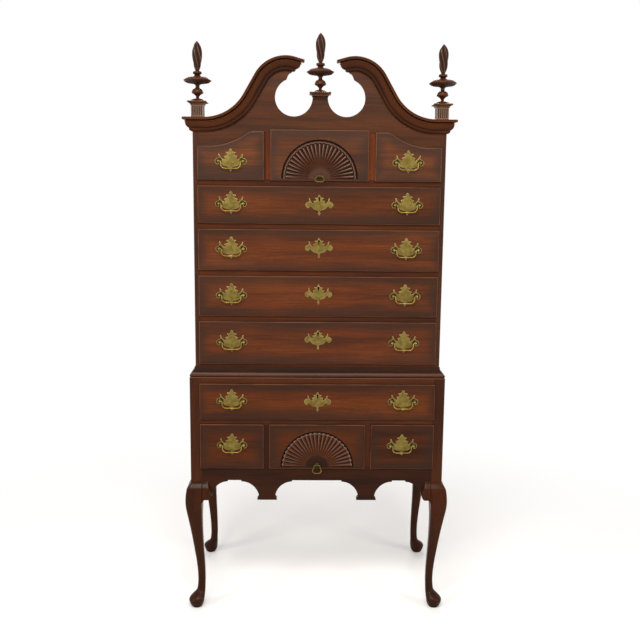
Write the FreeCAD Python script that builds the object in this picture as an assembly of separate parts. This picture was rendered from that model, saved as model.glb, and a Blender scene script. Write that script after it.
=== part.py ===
"""Highboy: a high chest of drawers in two cases, on four cabriole legs, with a swan-neck pediment.

Millimetres. +X is to the right seen from the front, +Y to the back, +Z up.
The origin is on the floor, under the middle of the whole piece.
Each sub-part goes to parts/NODE.step, and each separate piece of wood or brass is its own solid.
"""
import FreeCAD, Part
import math
import os
from collections import namedtuple

V = FreeCAD.Vector

# --- Driving dimensions: lower case -------------------------------------------------------------
lower_width = 965.0
lower_depth = 540.0
lower_top_z = 925.0           # top of the lower case, where the upper case stands
post_size = 42.0              # square corner posts, one piece with the legs
knee_ledge_z = 520.0          # flat ledge on top of each knee
lower_side_thick = 18.0
lower_side_setback = 1.0      # side panels lie this far inside the posts' faces
lower_back_thick = 12.0
lower_back_bottom_z = 540.0
lower_board_thick = 18.0      # board that closes the top of the lower case

# --- Driving dimensions: upper case -------------------------------------------------------------
upper_setback = 21.0          # upper case stands this far inside the lower case, front and sides
upper_top_z = 1884.0          # top of the case sides, and of the level part of the cornice
upper_side_thick = 20.0
upper_board_thick = 20.0
back_thick = 12.0
back_rabbet = 10.0            # the sides' rear rabbets that the back boards lie in
back_board_count = 4
back_board_gap = 1.0

# --- Driving dimensions: drawers ----------------------------------------------------------------
lip = 5.5                     # how far a drawer's moulded lip overlaps its opening
lip_proud = 9.5               # thickness of the lip, in front of the case
lip_round = 5.0               # rounding of the lip's front edge
lip_gap = 0.3                 # between the lip's back and the case's front
block_thick = 13.0            # drawer front behind the lip
block_clearance = 1.5         # drawer front's inner block to its opening
side_clearance = 2.0          # drawer sides to the opening
run_gap = 0.3                 # drawer bottoms to their runners
head_room = 8.0               # drawer sides to the top of the opening
box_side_thick = 12.0
box_back_thick = 12.0
box_bottom_thick = 7.0
box_bottom_rise = 10.0        # underside of the bottom above the sides' lower edges
box_back_drop = 6.0           # top of the drawer's back below its sides
rear_room = 14.0              # behind the closed drawers

upper_first_rise = 50.3       # from the lower case's top to the upper case's lowest drawer face
upper_frieze = 39.0           # board seen above the top row's centre drawer
upper_rail_show = 18.4        # rail seen between two drawer faces
# Heights of drawer faces are parts of the height left between the rails.
upper_long_parts = (164.5, 153.5, 154.5, 139.0)
top_centre_part = 184.6
top_side_outer_part = 124.6
top_side_inner_part = 178.1
top_centre_half = 180.5
top_divider_show = 22.0
scroll_outer_flat = 44.0
scroll_inner_flat = 37.5
scroll_low_share = 0.82       # share of the scroll's two radii that the lower, hollow arc takes

lower_row_rise = 52.0         # from the knee ledge to the lower row's drawer faces
lower_frieze = 19.5
lower_rail_show = 17.7
lower_row_part = 176.0
lower_long_part = 139.8
lower_centre_half = 183.0
lower_divider_show = 20.0

rail_depth = 60.0
divider_depth = 45.0
runner_thick = 20.0
runner_width = 25.0
guide_height = 15.0

fan_radius = 140.0
fan_sink = 4.0                # the carved fan's ground lies this deep in the drawer front
fan_centre_rise = 9.0         # the fan's centre above the face's lower edge
fan_hub_radius = 34.0

# --- Driving dimensions: apron and knees --------------------------------------------------------
apron_thick = 22.0
apron_flat_z = 524.0
apron_step = 5.0              # small step where each flat meets an arch
apron_centre_flat_half = 95.0
apron_outer_flat = (290.0, 342.0)
pendant_x = 191.0
pendant_neck_half = 31.0
pendant_base_half = 37.5
pendant_neck_z = 459.5
pendant_base_z = 445.0
pendant_base_height = 6.0
bracket_width = 36.0
bracket_top_width = 22.0
bracket_proud = 12.0          # knee brackets stand this far in front of the case
bracket_depth = 34.0
bracket_tip_drop = 87.0       # from the knee ledge to the bracket's lower tip
bracket_lobe_drop = 70.0
bracket_side_drop = 52.0
bracket_lobe_width = 25.0
bracket_lobe_swell = 0.14
bracket_neck_width = 10.0
bracket_neck_swell = 0.1
arch_swell = 0.185            # swell of the apron's arches, a little flatter than a quarter round
glue_line = 0.2

# Leg profile: height, reach outside the post's outer face, reach inside it, roundness of corners.
leg_stations = (
    (0.0, 0.5, 30.5, 0.97),
    (8.0, 7.5, 37.5, 0.97),
    (20.0, 13.6, 42.5, 0.96),
    (30.0, 15.6, 44.2, 0.95),
    (42.0, 10.0, 45.4, 0.93),
    (52.0, -1.0, 46.2, 0.92),
    (62.0, -12.0, 46.6, 0.90),
    (76.0, -16.5, 47.1, 0.86),
    (112.0, -19.0, 48.0, 0.75),
    (165.0, -16.5, 47.0, 0.65),
    (240.0, -7.5, 43.5, 0.55),
    (319.0, 4.0, 41.0, 0.48),
    (369.0, 12.5, 41.0, 0.42),
    (410.0, 19.5, 42.0, 0.36),
    (440.0, 21.5, 42.0, 0.32),
    (480.0, 18.0, 42.0, 0.28),
    (500.0, 12.9, 42.0, 0.25),
    (knee_ledge_z, 6.5, 42.0, 0.22),
)

# --- Driving dimensions: mouldings and pediment -------------------------------------------------
waist_height = 41.0
# Waist moulding: shares of its projection and of its height, then swell, counted round the section.
waist_stations = (
    (0.0, 0.0, 0.0),
    (0.0, 1.0, 0.0),
    (0.14, 1.0, 0.0),
    (0.14, 0.93, -0.20),
    (0.62, 0.42, 0.0),
    (0.74, 0.42, 0.0),
    (0.74, 0.36, 0.22),
    (1.0, 0.14, 0.0),
    (1.0, 0.0, 0.0),
)
cornice_projection = 34.0
cornice_height = 50.0
# Cornice: shares of its projection and of its height below the top line, then swell.
cornice_stations = (
    (0.0, 0.0, 0.0),
    (1.0, 0.0, 0.0),
    (1.0, 0.10, 0.16),
    (0.65, 0.34, 0.0),
    (0.59, 0.34, 0.0),
    (0.59, 0.40, 0.18),
    (0.28, 0.68, 0.0),
    (0.235, 0.68, 0.0),
    (0.235, 0.74, -0.20),
    (0.03, 1.0, 0.0),
    (0.0, 1.0, 0.0),
)
neck_level_x = 418.0          # the cornice is level outside this, and rises inside it
neck_lower_radius = 165.0
neck_straight = 80.3
neck_upper_radius = 128.0
neck_turn = 60.0              # degrees between the level part and the straight slope
neck_board_end = 106.0        # degrees round the upper arc where the board ends
neck_tip_end = 126.0          # degrees to which the moulding is run before its return is cut
pediment_thick = 20.0
hole_x = 95.5
hole_rise = 75.0              # centre of each hole above the level cornice
hole_radius = 68.0
hole_open_angle = 66.5        # degrees round each hole where it opens to the sky
board_nib = ((113.0, 157.0), (117.0, 151.0))

plinth_x = 440.0
plinth_setback = -12.0        # centre of the side plinths from the upper case's front
plinth_half = 22.0
plinth_height = 41.0
plinth_cap_half = 34.5
plinth_cap_height = 15.0
cap_slab_share = 0.35         # share of a cap's height that its flat slab takes
cap_foot_reach = 2.0          # foot of a cap's splay past the shaft below it
centre_plinth_rise = 78.0
centre_plinth_half = 27.5
centre_cap_half = 39.0
flute_count = 5
flute_radius = 2.6
flute_stop = 4.0              # plain shaft above and below the flutes

finial_disc_radius = 48.5
dowel_radius = 6.0
dowel_length = 14.0
# Finial above its cap: height and radius where the turning changes, with the swell between.
finial_turning = (
    (0.0, 27.0, 0.10),
    (8.0, 16.0, -0.12),
    (13.5, 5.0, -0.10),
    (27.0, 17.5, 0.25),
    (36.0, 19.0, 0.20),
    (46.0, 8.5, -0.10),
    (55.0, 9.5, -0.08),
    (62.0, 34.0, 0.12),
    (70.0, finial_disc_radius, 0.25),
    (76.0, finial_disc_radius, 0.12),
    (86.0, 30.0, -0.15),
    (93.0, 8.5, 0.0),
    (97.0, 14.7, 0.40),
    (102.0, 14.7, 0.0),
    (107.0, 6.5, -0.10),
    (135.0, 13.5, 0.06),
    (166.0, 17.5, 0.10),
    (192.0, 10.0, 0.06),
    (207.5, 0.6, 0.0),
)

# --- Driving dimensions: brasses ----------------------------------------------------------------
handle_x = 323.5
handle_above_centre_long = 3.6
handle_above_centre_small = 6.5
plate_thick = 1.6
plate_rise = 45.0             # plate's tip above the posts' axis
post_spacing = 88.9
post_stand_off = 10.0         # axis of the bail in front of the drawer face
post_flange_radius = 5.5
post_flange_thick = 1.6
post_neck_radius = 2.8
post_head_radius = 4.8
shank_radius = 2.0
nut_radius = 5.0
nut_thick = 3.5
nut_sides = 6
shank_past_nut = 2.0
pin_radius = 1.5
pin_clearance = 0.05
pin_reach = 5.5               # pin's length inside the post's head
pin_end_room = 1.0
bail_half = 35.5
bail_drop = 26.0
bail_corner = 15.0
bail_bend = 2.9               # where the arms turn out into the pins
bail_radius = 2.1
bail_knop_half = 5.0          # half length of the knop at the middle of the bar
bail_knop_swell = 0.10
escutcheon_below_top = 31.0
keyhole_depth = 14.0
escutcheon_pin_radius = 0.8
escutcheon_pin_length = 9.0
escutcheon_pin_head = 1.44

drop_rise = 18.0              # axis of a fan drawer's pull above the face's lower edge
drop_plate_radius = 10.0
drop_tang_length = 17.0       # screwed into the drawer front
drop_barrel_half = 6.0
drop_barrel_radius = 4.0
drop_pin_radius = 1.2
drop_hole_depth = 5.0
drop_eye_gap = 3.0            # from the barrel's end to the middle of the bail's arm
drop_pin_length = 5.0
drop_wire = 1.6
drop_half = 17.5
drop_foot_share = 0.62        # half width of the drop's bar against its widest
drop_wide_share = 0.55        # how far down the drop is widest
drop_bend = 2.4
drop_shoulder = 1.0
drop_eye_stub = 2.0
upper_drop_length = 20.0
lower_drop_length = 31.0

screw_radius = 2.0
screw_head_radius = 4.0
screw_head_thick = 2.0
screw_length = 30.0
back_screw_shares = (0.2, 0.8)

cut_past = 5.0                # how far a cutter goes on past what it cuts
touch = 0.01                  # distance within which two planes count as one

# Half outlines of the plates, right-hand side from the tip down: x, depth below the tip, and the
# swell of the stretch that follows (sagitta over chord; positive bulges outwards).
handle_plate_half = (
    (0.0, 0.0, 0.22),
    (5.5, -7.0, -0.20),
    (16.0, -12.0, 0.45),
    (15.0, -18.0, -0.45),
    (16.5, -24.5, 0.08),
    (23.0, -27.0, 0.45),
    (22.5, -32.0, -0.45),
    (26.0, -37.5, -0.12),
    (40.0, -20.0, 0.45),
    (45.0, -22.0, -0.25),
    (48.0, -34.0, 0.39),
    (50.0, -57.0, 0.30),
    (43.0, -54.0, -0.45),
    (36.5, -49.5, 0.14),
    (17.0, -64.0, -0.08),
    (4.0, -69.0, -0.20),
    (4.5, -75.0, 0.08),
)
handle_plate_tail = 83.0
escutcheon_half = (
    (0.0, 0.0, 0.20),
    (4.0, -5.0, -0.20),
    (14.0, -10.5, 0.45),
    (13.5, -15.0, -0.45),
    (14.5, -21.0, 0.08),
    (20.0, -22.0, 0.45),
    (19.5, -26.5, -0.45),
    (23.5, -31.0, -0.12),
    (34.0, -14.5, 0.45),
    (38.5, -16.0, -0.25),
    (41.0, -26.0, 0.39),
    (44.0, -47.5, 0.25),
    (37.0, -47.0, -0.40),
    (28.0, -45.5, 0.12),
    (12.0, -55.5, -0.10),
    (3.0, -60.0, -0.20),
    (5.0, -67.0, 0.08),
)
escutcheon_tail = 76.5
escutcheon_pins = ((0.0, -50.0), (-33.0, -35.0), (33.0, -35.0))
keyhole_top = -12.0
keyhole_bottom = -21.0
keyhole_radius = 3.2
keyhole_slot_half = 1.6

# --- Planes worked out from the driving dimensions ----------------------------------------------
front_reach = finial_disc_radius - plinth_setback - upper_setback
back_reach = max(station[1] for station in leg_stations)
case_centre_y = (front_reach - back_reach) / 2.0
lower_front_y = case_centre_y - lower_depth / 2.0
back_y = case_centre_y + lower_depth / 2.0
upper_front_y = lower_front_y + upper_setback
lower_half = lower_width / 2.0
upper_half = lower_half - upper_setback
lower_open_half = lower_half - post_size
upper_open_half = upper_half - upper_side_thick
upper_back_y = back_y - back_thick
lower_back_y = back_y - lower_back_thick
panel_outer = lower_half - lower_side_setback
panel_inner = panel_outer - lower_side_thick
face_y_upper = upper_front_y - lip_proud
face_y_lower = lower_front_y - lip_proud

upper_first_z = lower_top_z + upper_first_rise
lower_row_z = knee_ledge_z + lower_row_rise
hole_z = upper_top_z + hole_rise
centre_plinth_z = upper_top_z + centre_plinth_rise
upper_rails_height = upper_rail_show * len(upper_long_parts)
upper_space = upper_top_z - upper_frieze - upper_first_z - upper_rails_height
lower_space = lower_top_z - lower_frieze - lower_row_z - lower_rail_show
upper_part = upper_space / (sum(upper_long_parts) + top_centre_part)
lower_part = lower_space / (lower_row_part + lower_long_part)
upper_long_heights = [part * upper_part for part in upper_long_parts]
top_centre_height = top_centre_part * upper_part
top_side_outer_height = top_side_outer_part * upper_part
top_side_inner_height = top_side_inner_part * upper_part
lower_row_height = lower_row_part * lower_part
lower_long_height = lower_long_part * lower_part

Drawer = namedtuple("Drawer", "name x0 x1 z0 z1 scroll_z front_y handles keyed pull side")
Axis = namedtuple("Axis", "x y z")


# --- Shape helpers ------------------------------------------------------------------------------
def box(x0, x1, y0, y1, z0, z1):
    return Part.makeBox(x1 - x0, y1 - y0, z1 - z0, V(x0, y0, z0))


def cylinder(radius, length, start, direction):
    return Part.makeCylinder(radius, length, start, direction)


def mirror_x(shape):
    return shape.mirror(V(0, 0, 0), V(1, 0, 0))


def mirror_depth(shape):
    return shape.mirror(V(0, case_centre_y, 0), V(0, 1, 0))


def both_sides(shape):
    return [shape, mirror_x(shape)]


def fused(first, others):
    return first.fuse(others).removeSplitter()


def closed_wire(points, place):
    """Closed wire through (u, v, swell) points; a swell bends the stretch that follows its point."""
    edges = []
    for (u0, v0, swell), (u1, v1, _) in zip(points, points[1:] + points[:1]):
        start = place(u0, v0)
        end = place(u1, v1)
        if swell == 0:
            edges.append(Part.LineSegment(start, end).toShape())
        else:
            middle = place((u0 + u1) / 2 - swell * (v1 - v0), (v0 + v1) / 2 + swell * (u1 - u0))
            edges.append(Part.Arc(start, middle, end).toShape())
    return Part.Wire(edges)


def plate_along_y(points, y0, y1):
    """Board with its outline in the XZ plane, from y0 to y1."""
    wire = closed_wire(points, lambda x, z: V(x, y0, z))
    return Part.Face(wire).extrude(V(0, y1 - y0, 0))


def plate_along_x(points, x0, x1):
    """Board with its outline in the YZ plane, from x0 to x1."""
    wire = closed_wire(points, lambda y, z: V(x0, y, z))
    return Part.Face(wire).extrude(V(x1 - x0, 0, 0))


def straight(points):
    return [(u, v, 0) for u, v in points]


def with_left_half(half):
    """Closed outline from its right-hand half, by adding the mirrored points in reverse order."""
    left = []
    for index in range(len(half) - 1, -1, -1):
        x, z, _ = half[index]
        swell = half[index - 1][2] if index > 0 else 0
        left.append((-x, z, swell))
    return list(half) + left


def with_tail(half, tail):
    """Closed outline of a brass plate: its right-hand half, which starts at the tip, and its tail."""
    outline = with_left_half(half)
    middle = len(half)
    outline.insert(middle, (0.0, -tail, half[-1][2]))
    return outline[:-1]


def swell_of(angle):
    """Swell of an arc that turns by angle (radians)."""
    return math.tan(angle / 4.0) / 2.0


def rounded_path(corners, radius, y):
    """Wire through (x, z) corners in the plane y, each inner corner an arc of its radius."""
    edges = []
    previous = V(corners[0][0], y, corners[0][1])
    for before, corner, after in zip(corners, corners[1:], corners[2:]):
        here = V(corner[0], y, corner[1])
        to_before = (V(before[0], y, before[1]) - here).normalize()
        to_after = (V(after[0], y, after[1]) - here).normalize()
        half_angle = to_before.getAngle(to_after) / 2.0
        reach = radius / math.tan(half_angle)
        bisector = (to_before + to_after).normalize()
        start = here + to_before * reach
        end = here + to_after * reach
        middle = here + bisector * (radius / math.sin(half_angle) - radius)
        if (start - previous).Length > touch:
            edges.append(Part.LineSegment(previous, start).toShape())
        edges.append(Part.Arc(start, middle, end).toShape())
        previous = end
    last = V(corners[-1][0], y, corners[-1][1])
    edges.append(Part.LineSegment(previous, last).toShape())
    return Part.Wire(edges)


def tube(path, radius):
    """Round bar along a wire of tangent lines and arcs."""
    pieces = []
    for edge in path.Edges:
        start = edge.valueAt(edge.FirstParameter)
        tangent = edge.tangentAt(edge.FirstParameter)
        section = Part.Face(Part.Wire(Part.makeCircle(radius, start, tangent)))
        if isinstance(edge.Curve, Part.Circle):
            turn = math.degrees(edge.LastParameter - edge.FirstParameter)
            pieces.append(section.revolve(edge.Curve.Center, edge.Curve.Axis, turn))
        else:
            pieces.append(cylinder(radius, edge.Length, start, tangent))
    return fused(pieces[0], pieces[1:])


def export(node, solids):
    shape = Part.Compound([solid for item in solids for solid in item.Solids])
    shape.exportStep("parts/" + node + ".step")
    volume = sum(solid.Volume for solid in shape.Solids)
    print("%-26s %3d solids %12.0f mm3 valid %s" % (node, len(shape.Solids), volume, shape.isValid()))


# --- Drawer places ------------------------------------------------------------------------------
def scroll_arcs(drawer, inset):
    """Scrolled top of a side drawer in the top row: points from its inner flat to its outer flat."""
    low_x = drawer.x1 - scroll_outer_flat
    high_x = drawer.x0 + scroll_inner_flat
    run = low_x - high_x
    rise = drawer.z1 - drawer.scroll_z
    both = (run ** 2 + rise ** 2) / (2.0 * rise)
    low_radius = scroll_low_share * both
    turn = math.asin(run / both)
    join_x = low_x - (low_radius + inset) * math.sin(turn)
    join_z = drawer.scroll_z + low_radius - (low_radius + inset) * math.cos(turn)
    return [
        (high_x, drawer.z1 - inset, swell_of(turn)),
        (join_x, join_z, -swell_of(turn)),
        (low_x, drawer.scroll_z - inset, 0),
    ]


def face_outline(drawer, inset):
    """Outline of a drawer face, drawn in by inset all round; counted clockwise from low left."""
    x0 = drawer.x0 + inset
    x1 = drawer.x1 - inset
    z0 = drawer.z0 + inset
    z1 = drawer.z1 - inset
    if drawer.scroll_z is None:
        return straight([(x0, z0), (x0, z1), (x1, z1), (x1, z0)])
    outer = straight([(x1, drawer.scroll_z - inset), (x1, z0)])
    return straight([(x0, z0), (x0, z1)]) + scroll_arcs(drawer, inset) + outer


def place_drawers():
    """All drawers by name. A left-hand one keeps its right-hand twin's outline and has side -1."""
    drawers = []
    upper_face_half = upper_open_half + lip
    lower_face_half = lower_open_half + lip
    z = upper_first_z
    for number, height in enumerate(upper_long_heights, start=1):
        name = "upper_long_%d" % number
        drawers.append(Drawer(name, -upper_face_half, upper_face_half, z, z + height, None,
                              upper_front_y, (-handle_x, handle_x), True, 0, 1))
        z += height + upper_rail_show
    side_x = top_centre_half + top_divider_show
    drawers.append(Drawer("top_right", side_x, upper_face_half, z, z + top_side_inner_height,
                          z + top_side_outer_height, upper_front_y, (handle_x,), False, 0, 1))
    drawers.append(Drawer("top_centre", -top_centre_half, top_centre_half, z, z + top_centre_height,
                          None, upper_front_y, (), False, upper_drop_length, 1))
    z = lower_row_z
    side_x = lower_centre_half + lower_divider_show
    drawers.append(Drawer("lower_right", side_x, lower_face_half, z, z + lower_row_height,
                          None, lower_front_y, (handle_x,), False, 0, 1))
    drawers.append(Drawer("lower_centre", -lower_centre_half, lower_centre_half, z,
                          z + lower_row_height, None, lower_front_y, (), False,
                          lower_drop_length, 1))
    z += lower_row_height + lower_rail_show
    drawers.append(Drawer("lower_long", -lower_face_half, lower_face_half, z, z + lower_long_height,
                          None, lower_front_y, (-handle_x, handle_x), True, 0, 1))
    for drawer in list(drawers):
        if drawer.name.endswith("_right"):
            name = drawer.name.replace("_right", "_left")
            drawers.append(drawer._replace(name=name, handles=(-handle_x,), side=-1))
    return {drawer.name: drawer for drawer in drawers}


DRAWERS = place_drawers()
top_row = DRAWERS["top_right"]
top_centre = DRAWERS["top_centre"]
lower_row = DRAWERS["lower_right"]
lower_centre = DRAWERS["lower_centre"]
lower_long = DRAWERS["lower_long"]


def open_bottom(drawer):
    return drawer.z0 + lip


def open_top(drawer):
    return (drawer.z1 if drawer.scroll_z is None else drawer.scroll_z) - lip


def rear_y(drawer):
    """Plane that the rear of the drawer's box reaches when closed."""
    back = upper_back_y if drawer.front_y == upper_front_y else lower_back_y
    return back - rear_room


def handle_axis(drawer, x):
    """Where a bail turns: on the axis of its two posts."""
    top = drawer.z1 if drawer.scroll_z is None else drawer.scroll_z
    above = handle_above_centre_long if len(drawer.handles) > 1 else handle_above_centre_small
    y = drawer.front_y - lip_proud - post_stand_off
    return Axis(x, y, (drawer.z0 + top) / 2.0 + above)


def drop_axis(drawer):
    y = drawer.front_y - lip_proud - post_stand_off
    return Axis(0.0, y, drawer.z0 + drop_rise)


def escutcheon_tip(drawer):
    return drawer.z1 - escutcheon_below_top


# --- Brasses ------------------------------------------------------------------------------------
def ball_post(axis, direction, front_y):
    """Post with a ball head; direction is the side on which the bail's pin enters."""
    plate_y = front_y - lip_proud - plate_thick
    end_y = front_y + block_thick + nut_thick + shank_past_nut
    neck_y = axis.y + math.sqrt(post_head_radius ** 2 - post_neck_radius ** 2)
    x = axis.x
    z = axis.z
    tip = V(x, axis.y - post_head_radius, z)
    shoulder = V(x + post_head_radius, axis.y, z)
    profile = [
        (post_neck_radius, neck_y),
        (post_neck_radius, plate_y - post_flange_thick),
        (post_flange_radius, plate_y - post_flange_thick),
        (post_flange_radius, plate_y),
        (shank_radius, plate_y),
        (shank_radius, end_y),
        (0.0, end_y),
    ]
    corners = [V(x + radius, y, z) for radius, y in profile]
    edges = [Part.Arc(tip, shoulder, corners[0]).toShape()]
    for start, end in zip(corners, corners[1:] + [tip]):
        edges.append(Part.LineSegment(start, end).toShape())
    post = Part.Face(Part.Wire(edges)).revolve(V(x, axis.y, z), V(0, 1, 0), 360.0)
    mouth = V(x + direction * (post_head_radius + cut_past), axis.y, z)
    depth = cut_past + pin_reach + pin_end_room
    hole = cylinder(pin_radius + pin_clearance, depth, mouth, V(-direction, 0, 0))
    return post.cut(hole)


def nut(x, front_y, z):
    corners = []
    for index in range(nut_sides):
        angle = math.radians(360.0 / nut_sides * index)
        corners.append((x + nut_radius * math.cos(angle), z + nut_radius * math.sin(angle)))
    y0 = front_y + block_thick
    body = plate_along_y(straight(corners), y0, y0 + nut_thick)
    return body.cut(cylinder(shank_radius, nut_thick, V(x, y0, z), V(0, 1, 0)))


def shifted(outline, x, z):
    return [(u + x, v + z, swell) for u, v, swell in outline]


def handle_plate(axis, front_y):
    outline = shifted(with_tail(handle_plate_half, handle_plate_tail), axis.x,
                      axis.z + plate_rise)
    face_y = front_y - lip_proud
    plate = plate_along_y(outline, face_y, face_y - plate_thick)
    for side in (-1, 1):
        start = V(axis.x + side * post_spacing / 2, face_y - plate_thick, axis.z)
        plate = plate.cut(cylinder(shank_radius, plate_thick, start, V(0, 1, 0)))
    return plate


def keyhole(z_tip, y0, y1):
    """Cutter of a keyhole: a round top and a slot below it."""
    length = y1 - y0
    top = cylinder(keyhole_radius, length, V(0, y0, z_tip + keyhole_top), V(0, 1, 0))
    slot = box(-keyhole_slot_half, keyhole_slot_half, y0, y1, z_tip + keyhole_bottom,
               z_tip + keyhole_top)
    end = cylinder(keyhole_slot_half, length, V(0, y0, z_tip + keyhole_bottom), V(0, 1, 0))
    return fused(top, [slot, end])


def escutcheon(drawer):
    tip = escutcheon_tip(drawer)
    face_y = drawer.front_y - lip_proud
    outline = shifted(with_tail(escutcheon_half, escutcheon_tail), 0.0, tip)
    plate = plate_along_y(outline, face_y, face_y - plate_thick)
    plate = plate.cut(keyhole(tip, face_y - plate_thick, face_y))
    pins = []
    for x, below in escutcheon_pins:
        start = V(x, face_y - plate_thick, tip + below)
        shank = cylinder(escutcheon_pin_radius, escutcheon_pin_length, start, V(0, 1, 0))
        reach = 2.0 * escutcheon_pin_head
        head = Part.makeSphere(escutcheon_pin_head, start)
        head = head.common(box(x - reach, x + reach, start.y - reach, start.y,
                               start.z - reach, start.z + reach))
        pins.append(fused(shank, [head]))
        plate = plate.cut(shank)
    return [plate] + pins


def drop_post(axis, front_y):
    """Post of a fan drawer's pull: a cross barrel that holds the bail's two pins."""
    face_y = front_y - lip_proud
    ends = V(axis.x - drop_barrel_half, axis.y, axis.z)
    barrel = cylinder(drop_barrel_radius, drop_barrel_half * 2, ends, V(1, 0, 0))
    neck = cylinder(post_neck_radius, face_y - plate_thick - axis.y,
                    V(axis.x, axis.y, axis.z), V(0, 1, 0))
    tang = cylinder(shank_radius, drop_tang_length + plate_thick,
                    V(axis.x, face_y - plate_thick, axis.z), V(0, 1, 0))
    post = fused(barrel, [neck, tang])
    for side in (-1, 1):
        start = V(axis.x + side * drop_barrel_half, axis.y, axis.z)
        hole = cylinder(drop_pin_radius + pin_clearance, drop_hole_depth, start, V(-side, 0, 0))
        post = post.cut(hole)
    return post


def drop_rose(axis, front_y):
    face_y = front_y - lip_proud
    centre = V(axis.x, face_y - plate_thick, axis.z)
    rose = cylinder(drop_plate_radius, plate_thick, centre, V(0, 1, 0))
    return rose.cut(cylinder(shank_radius, plate_thick, centre, V(0, 1, 0)))


def drawer_brasses(drawer):
    solids = []
    for x in drawer.handles:
        axis = handle_axis(drawer, x)
        solids.append(handle_plate(axis, drawer.front_y))
        for side in (-1, 1):
            place = Axis(x + side * post_spacing / 2, axis.y, axis.z)
            solids.append(ball_post(place, -side, drawer.front_y))
            solids.append(nut(place.x, drawer.front_y, place.z))
    if drawer.keyed:
        solids += escutcheon(drawer)
    if drawer.pull:
        axis = drop_axis(drawer)
        solids.append(drop_rose(axis, drawer.front_y))
        solids.append(drop_post(axis, drawer.front_y))
    return solids


def bail_bar(axis):
    """Lower bar of a bail, one turning with the knop at its middle."""
    span = bail_half - bail_corner
    z = axis.z - bail_drop
    profile = [
        (-span, 0.0, 0),
        (-span, bail_radius, 0),
        (-bail_knop_half, bail_radius, bail_knop_swell),
        (bail_knop_half, bail_radius, 0),
        (span, bail_radius, 0),
        (span, 0.0, 0),
    ]
    wire = closed_wire(profile, lambda along, radius: V(axis.x + along, axis.y, z + radius))
    return Part.Face(wire).revolve(V(axis.x, axis.y, z), V(1, 0, 0), 360.0)


def bail(axis):
    """Handle bail: pins turned outwards into the posts, two arms and a bar with a knop."""
    bottom = axis.z - bail_drop
    top_bend = bail_bend * (1 - math.sqrt(0.5))
    low_bend = bail_corner * (1 - math.sqrt(0.5))
    pieces = []
    for side in (-1, 1):
        x = axis.x + side * bail_half
        pin_end = V(x + side * bail_bend, axis.y, axis.z)
        arm_top = V(x, axis.y, axis.z - bail_bend)
        arm_low = V(x, axis.y, bottom + bail_corner)
        bar_end = V(x - side * bail_corner, axis.y, bottom)
        shoulder = V(x + side * top_bend, axis.y, axis.z - top_bend)
        elbow = V(x - side * low_bend, axis.y, bottom + low_bend)
        arm = Part.Wire([
            Part.Arc(pin_end, shoulder, arm_top).toShape(),
            Part.LineSegment(arm_top, arm_low).toShape(),
            Part.Arc(arm_low, elbow, bar_end).toShape(),
        ])
        pin_length = post_spacing / 2 - post_head_radius + pin_reach - bail_half - bail_bend
        pieces.append(tube(arm, bail_radius))
        pieces.append(cylinder(pin_radius, pin_length, pin_end, V(side, 0, 0)))
    return fused(bail_bar(axis), pieces)


def drop_bail(axis, length):
    """Pull of a fan drawer: pins turned inwards into the barrel, splayed arms and a bar."""
    eye_x = drop_barrel_half + drop_eye_gap
    right = [
        (eye_x - drop_eye_stub, 0.0),
        (eye_x + drop_shoulder, 0.0),
        (drop_half, -length * drop_wide_share),
        (drop_half * drop_foot_share, -length),
    ]
    outline = [(-x, z) for x, z in right] + right[::-1]
    corners = [(axis.x + x, axis.z + z) for x, z in outline]
    body = tube(rounded_path(corners, drop_bend, axis.y), drop_wire)
    pins = []
    for side in (-1, 1):
        start = V(axis.x + side * (eye_x - drop_eye_stub), axis.y, axis.z)
        pins.append(cylinder(drop_pin_radius, drop_pin_length, start, V(-side, 0, 0)))
    return fused(body, pins)


# --- Drawers ------------------------------------------------------------------------------------
def drawer_front(drawer):
    face_y = drawer.front_y - lip_proud
    plate = plate_along_y(face_outline(drawer, 0.0), face_y, drawer.front_y - lip_gap)
    front_edges = [edge for edge in plate.Edges
                   if max(vertex.Point.y for vertex in edge.Vertexes) < face_y + touch]
    plate = plate.makeFillet(lip_round, front_edges)
    block = plate_along_y(face_outline(drawer, lip + block_clearance), drawer.front_y - lip_gap,
                          drawer.front_y + block_thick)
    front = fused(plate, [block])
    if drawer.side < 0:
        front = mirror_x(front)
    through = lip_proud + block_thick
    for x in drawer.handles:
        axis = handle_axis(drawer, x)
        for side in (-1, 1):
            start = V(x + side * post_spacing / 2, face_y, axis.z)
            front = front.cut(cylinder(shank_radius, through, start, V(0, 1, 0)))
    if drawer.keyed:
        tip = escutcheon_tip(drawer)
        front = front.cut(keyhole(tip, face_y, face_y + keyhole_depth))
        for x, below in escutcheon_pins:
            start = V(x, face_y, tip + below)
            depth = escutcheon_pin_length - plate_thick
            front = front.cut(cylinder(escutcheon_pin_radius, depth, start, V(0, 1, 0)))
    if drawer.pull:
        axis = drop_axis(drawer)
        start = V(0, face_y, axis.z)
        front = front.cut(fan_ground(drawer, face_y))
        front = front.cut(cylinder(shank_radius, drop_tang_length, start, V(0, 1, 0)))
    return front


def fan_ground(drawer, face_y):
    """Sunk half disc of a carved fan, left standing round the pull at its foot."""
    centre = V(0, face_y, drawer.z0 + fan_centre_rise)
    disc = cylinder(fan_radius, fan_sink, centre, V(0, 1, 0))
    half = box(-fan_radius, fan_radius, face_y, face_y + fan_sink, centre.z,
               centre.z + fan_radius)
    hub = cylinder(fan_hub_radius, fan_sink, centre, V(0, 1, 0))
    return disc.common(half).cut(hub)


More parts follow.
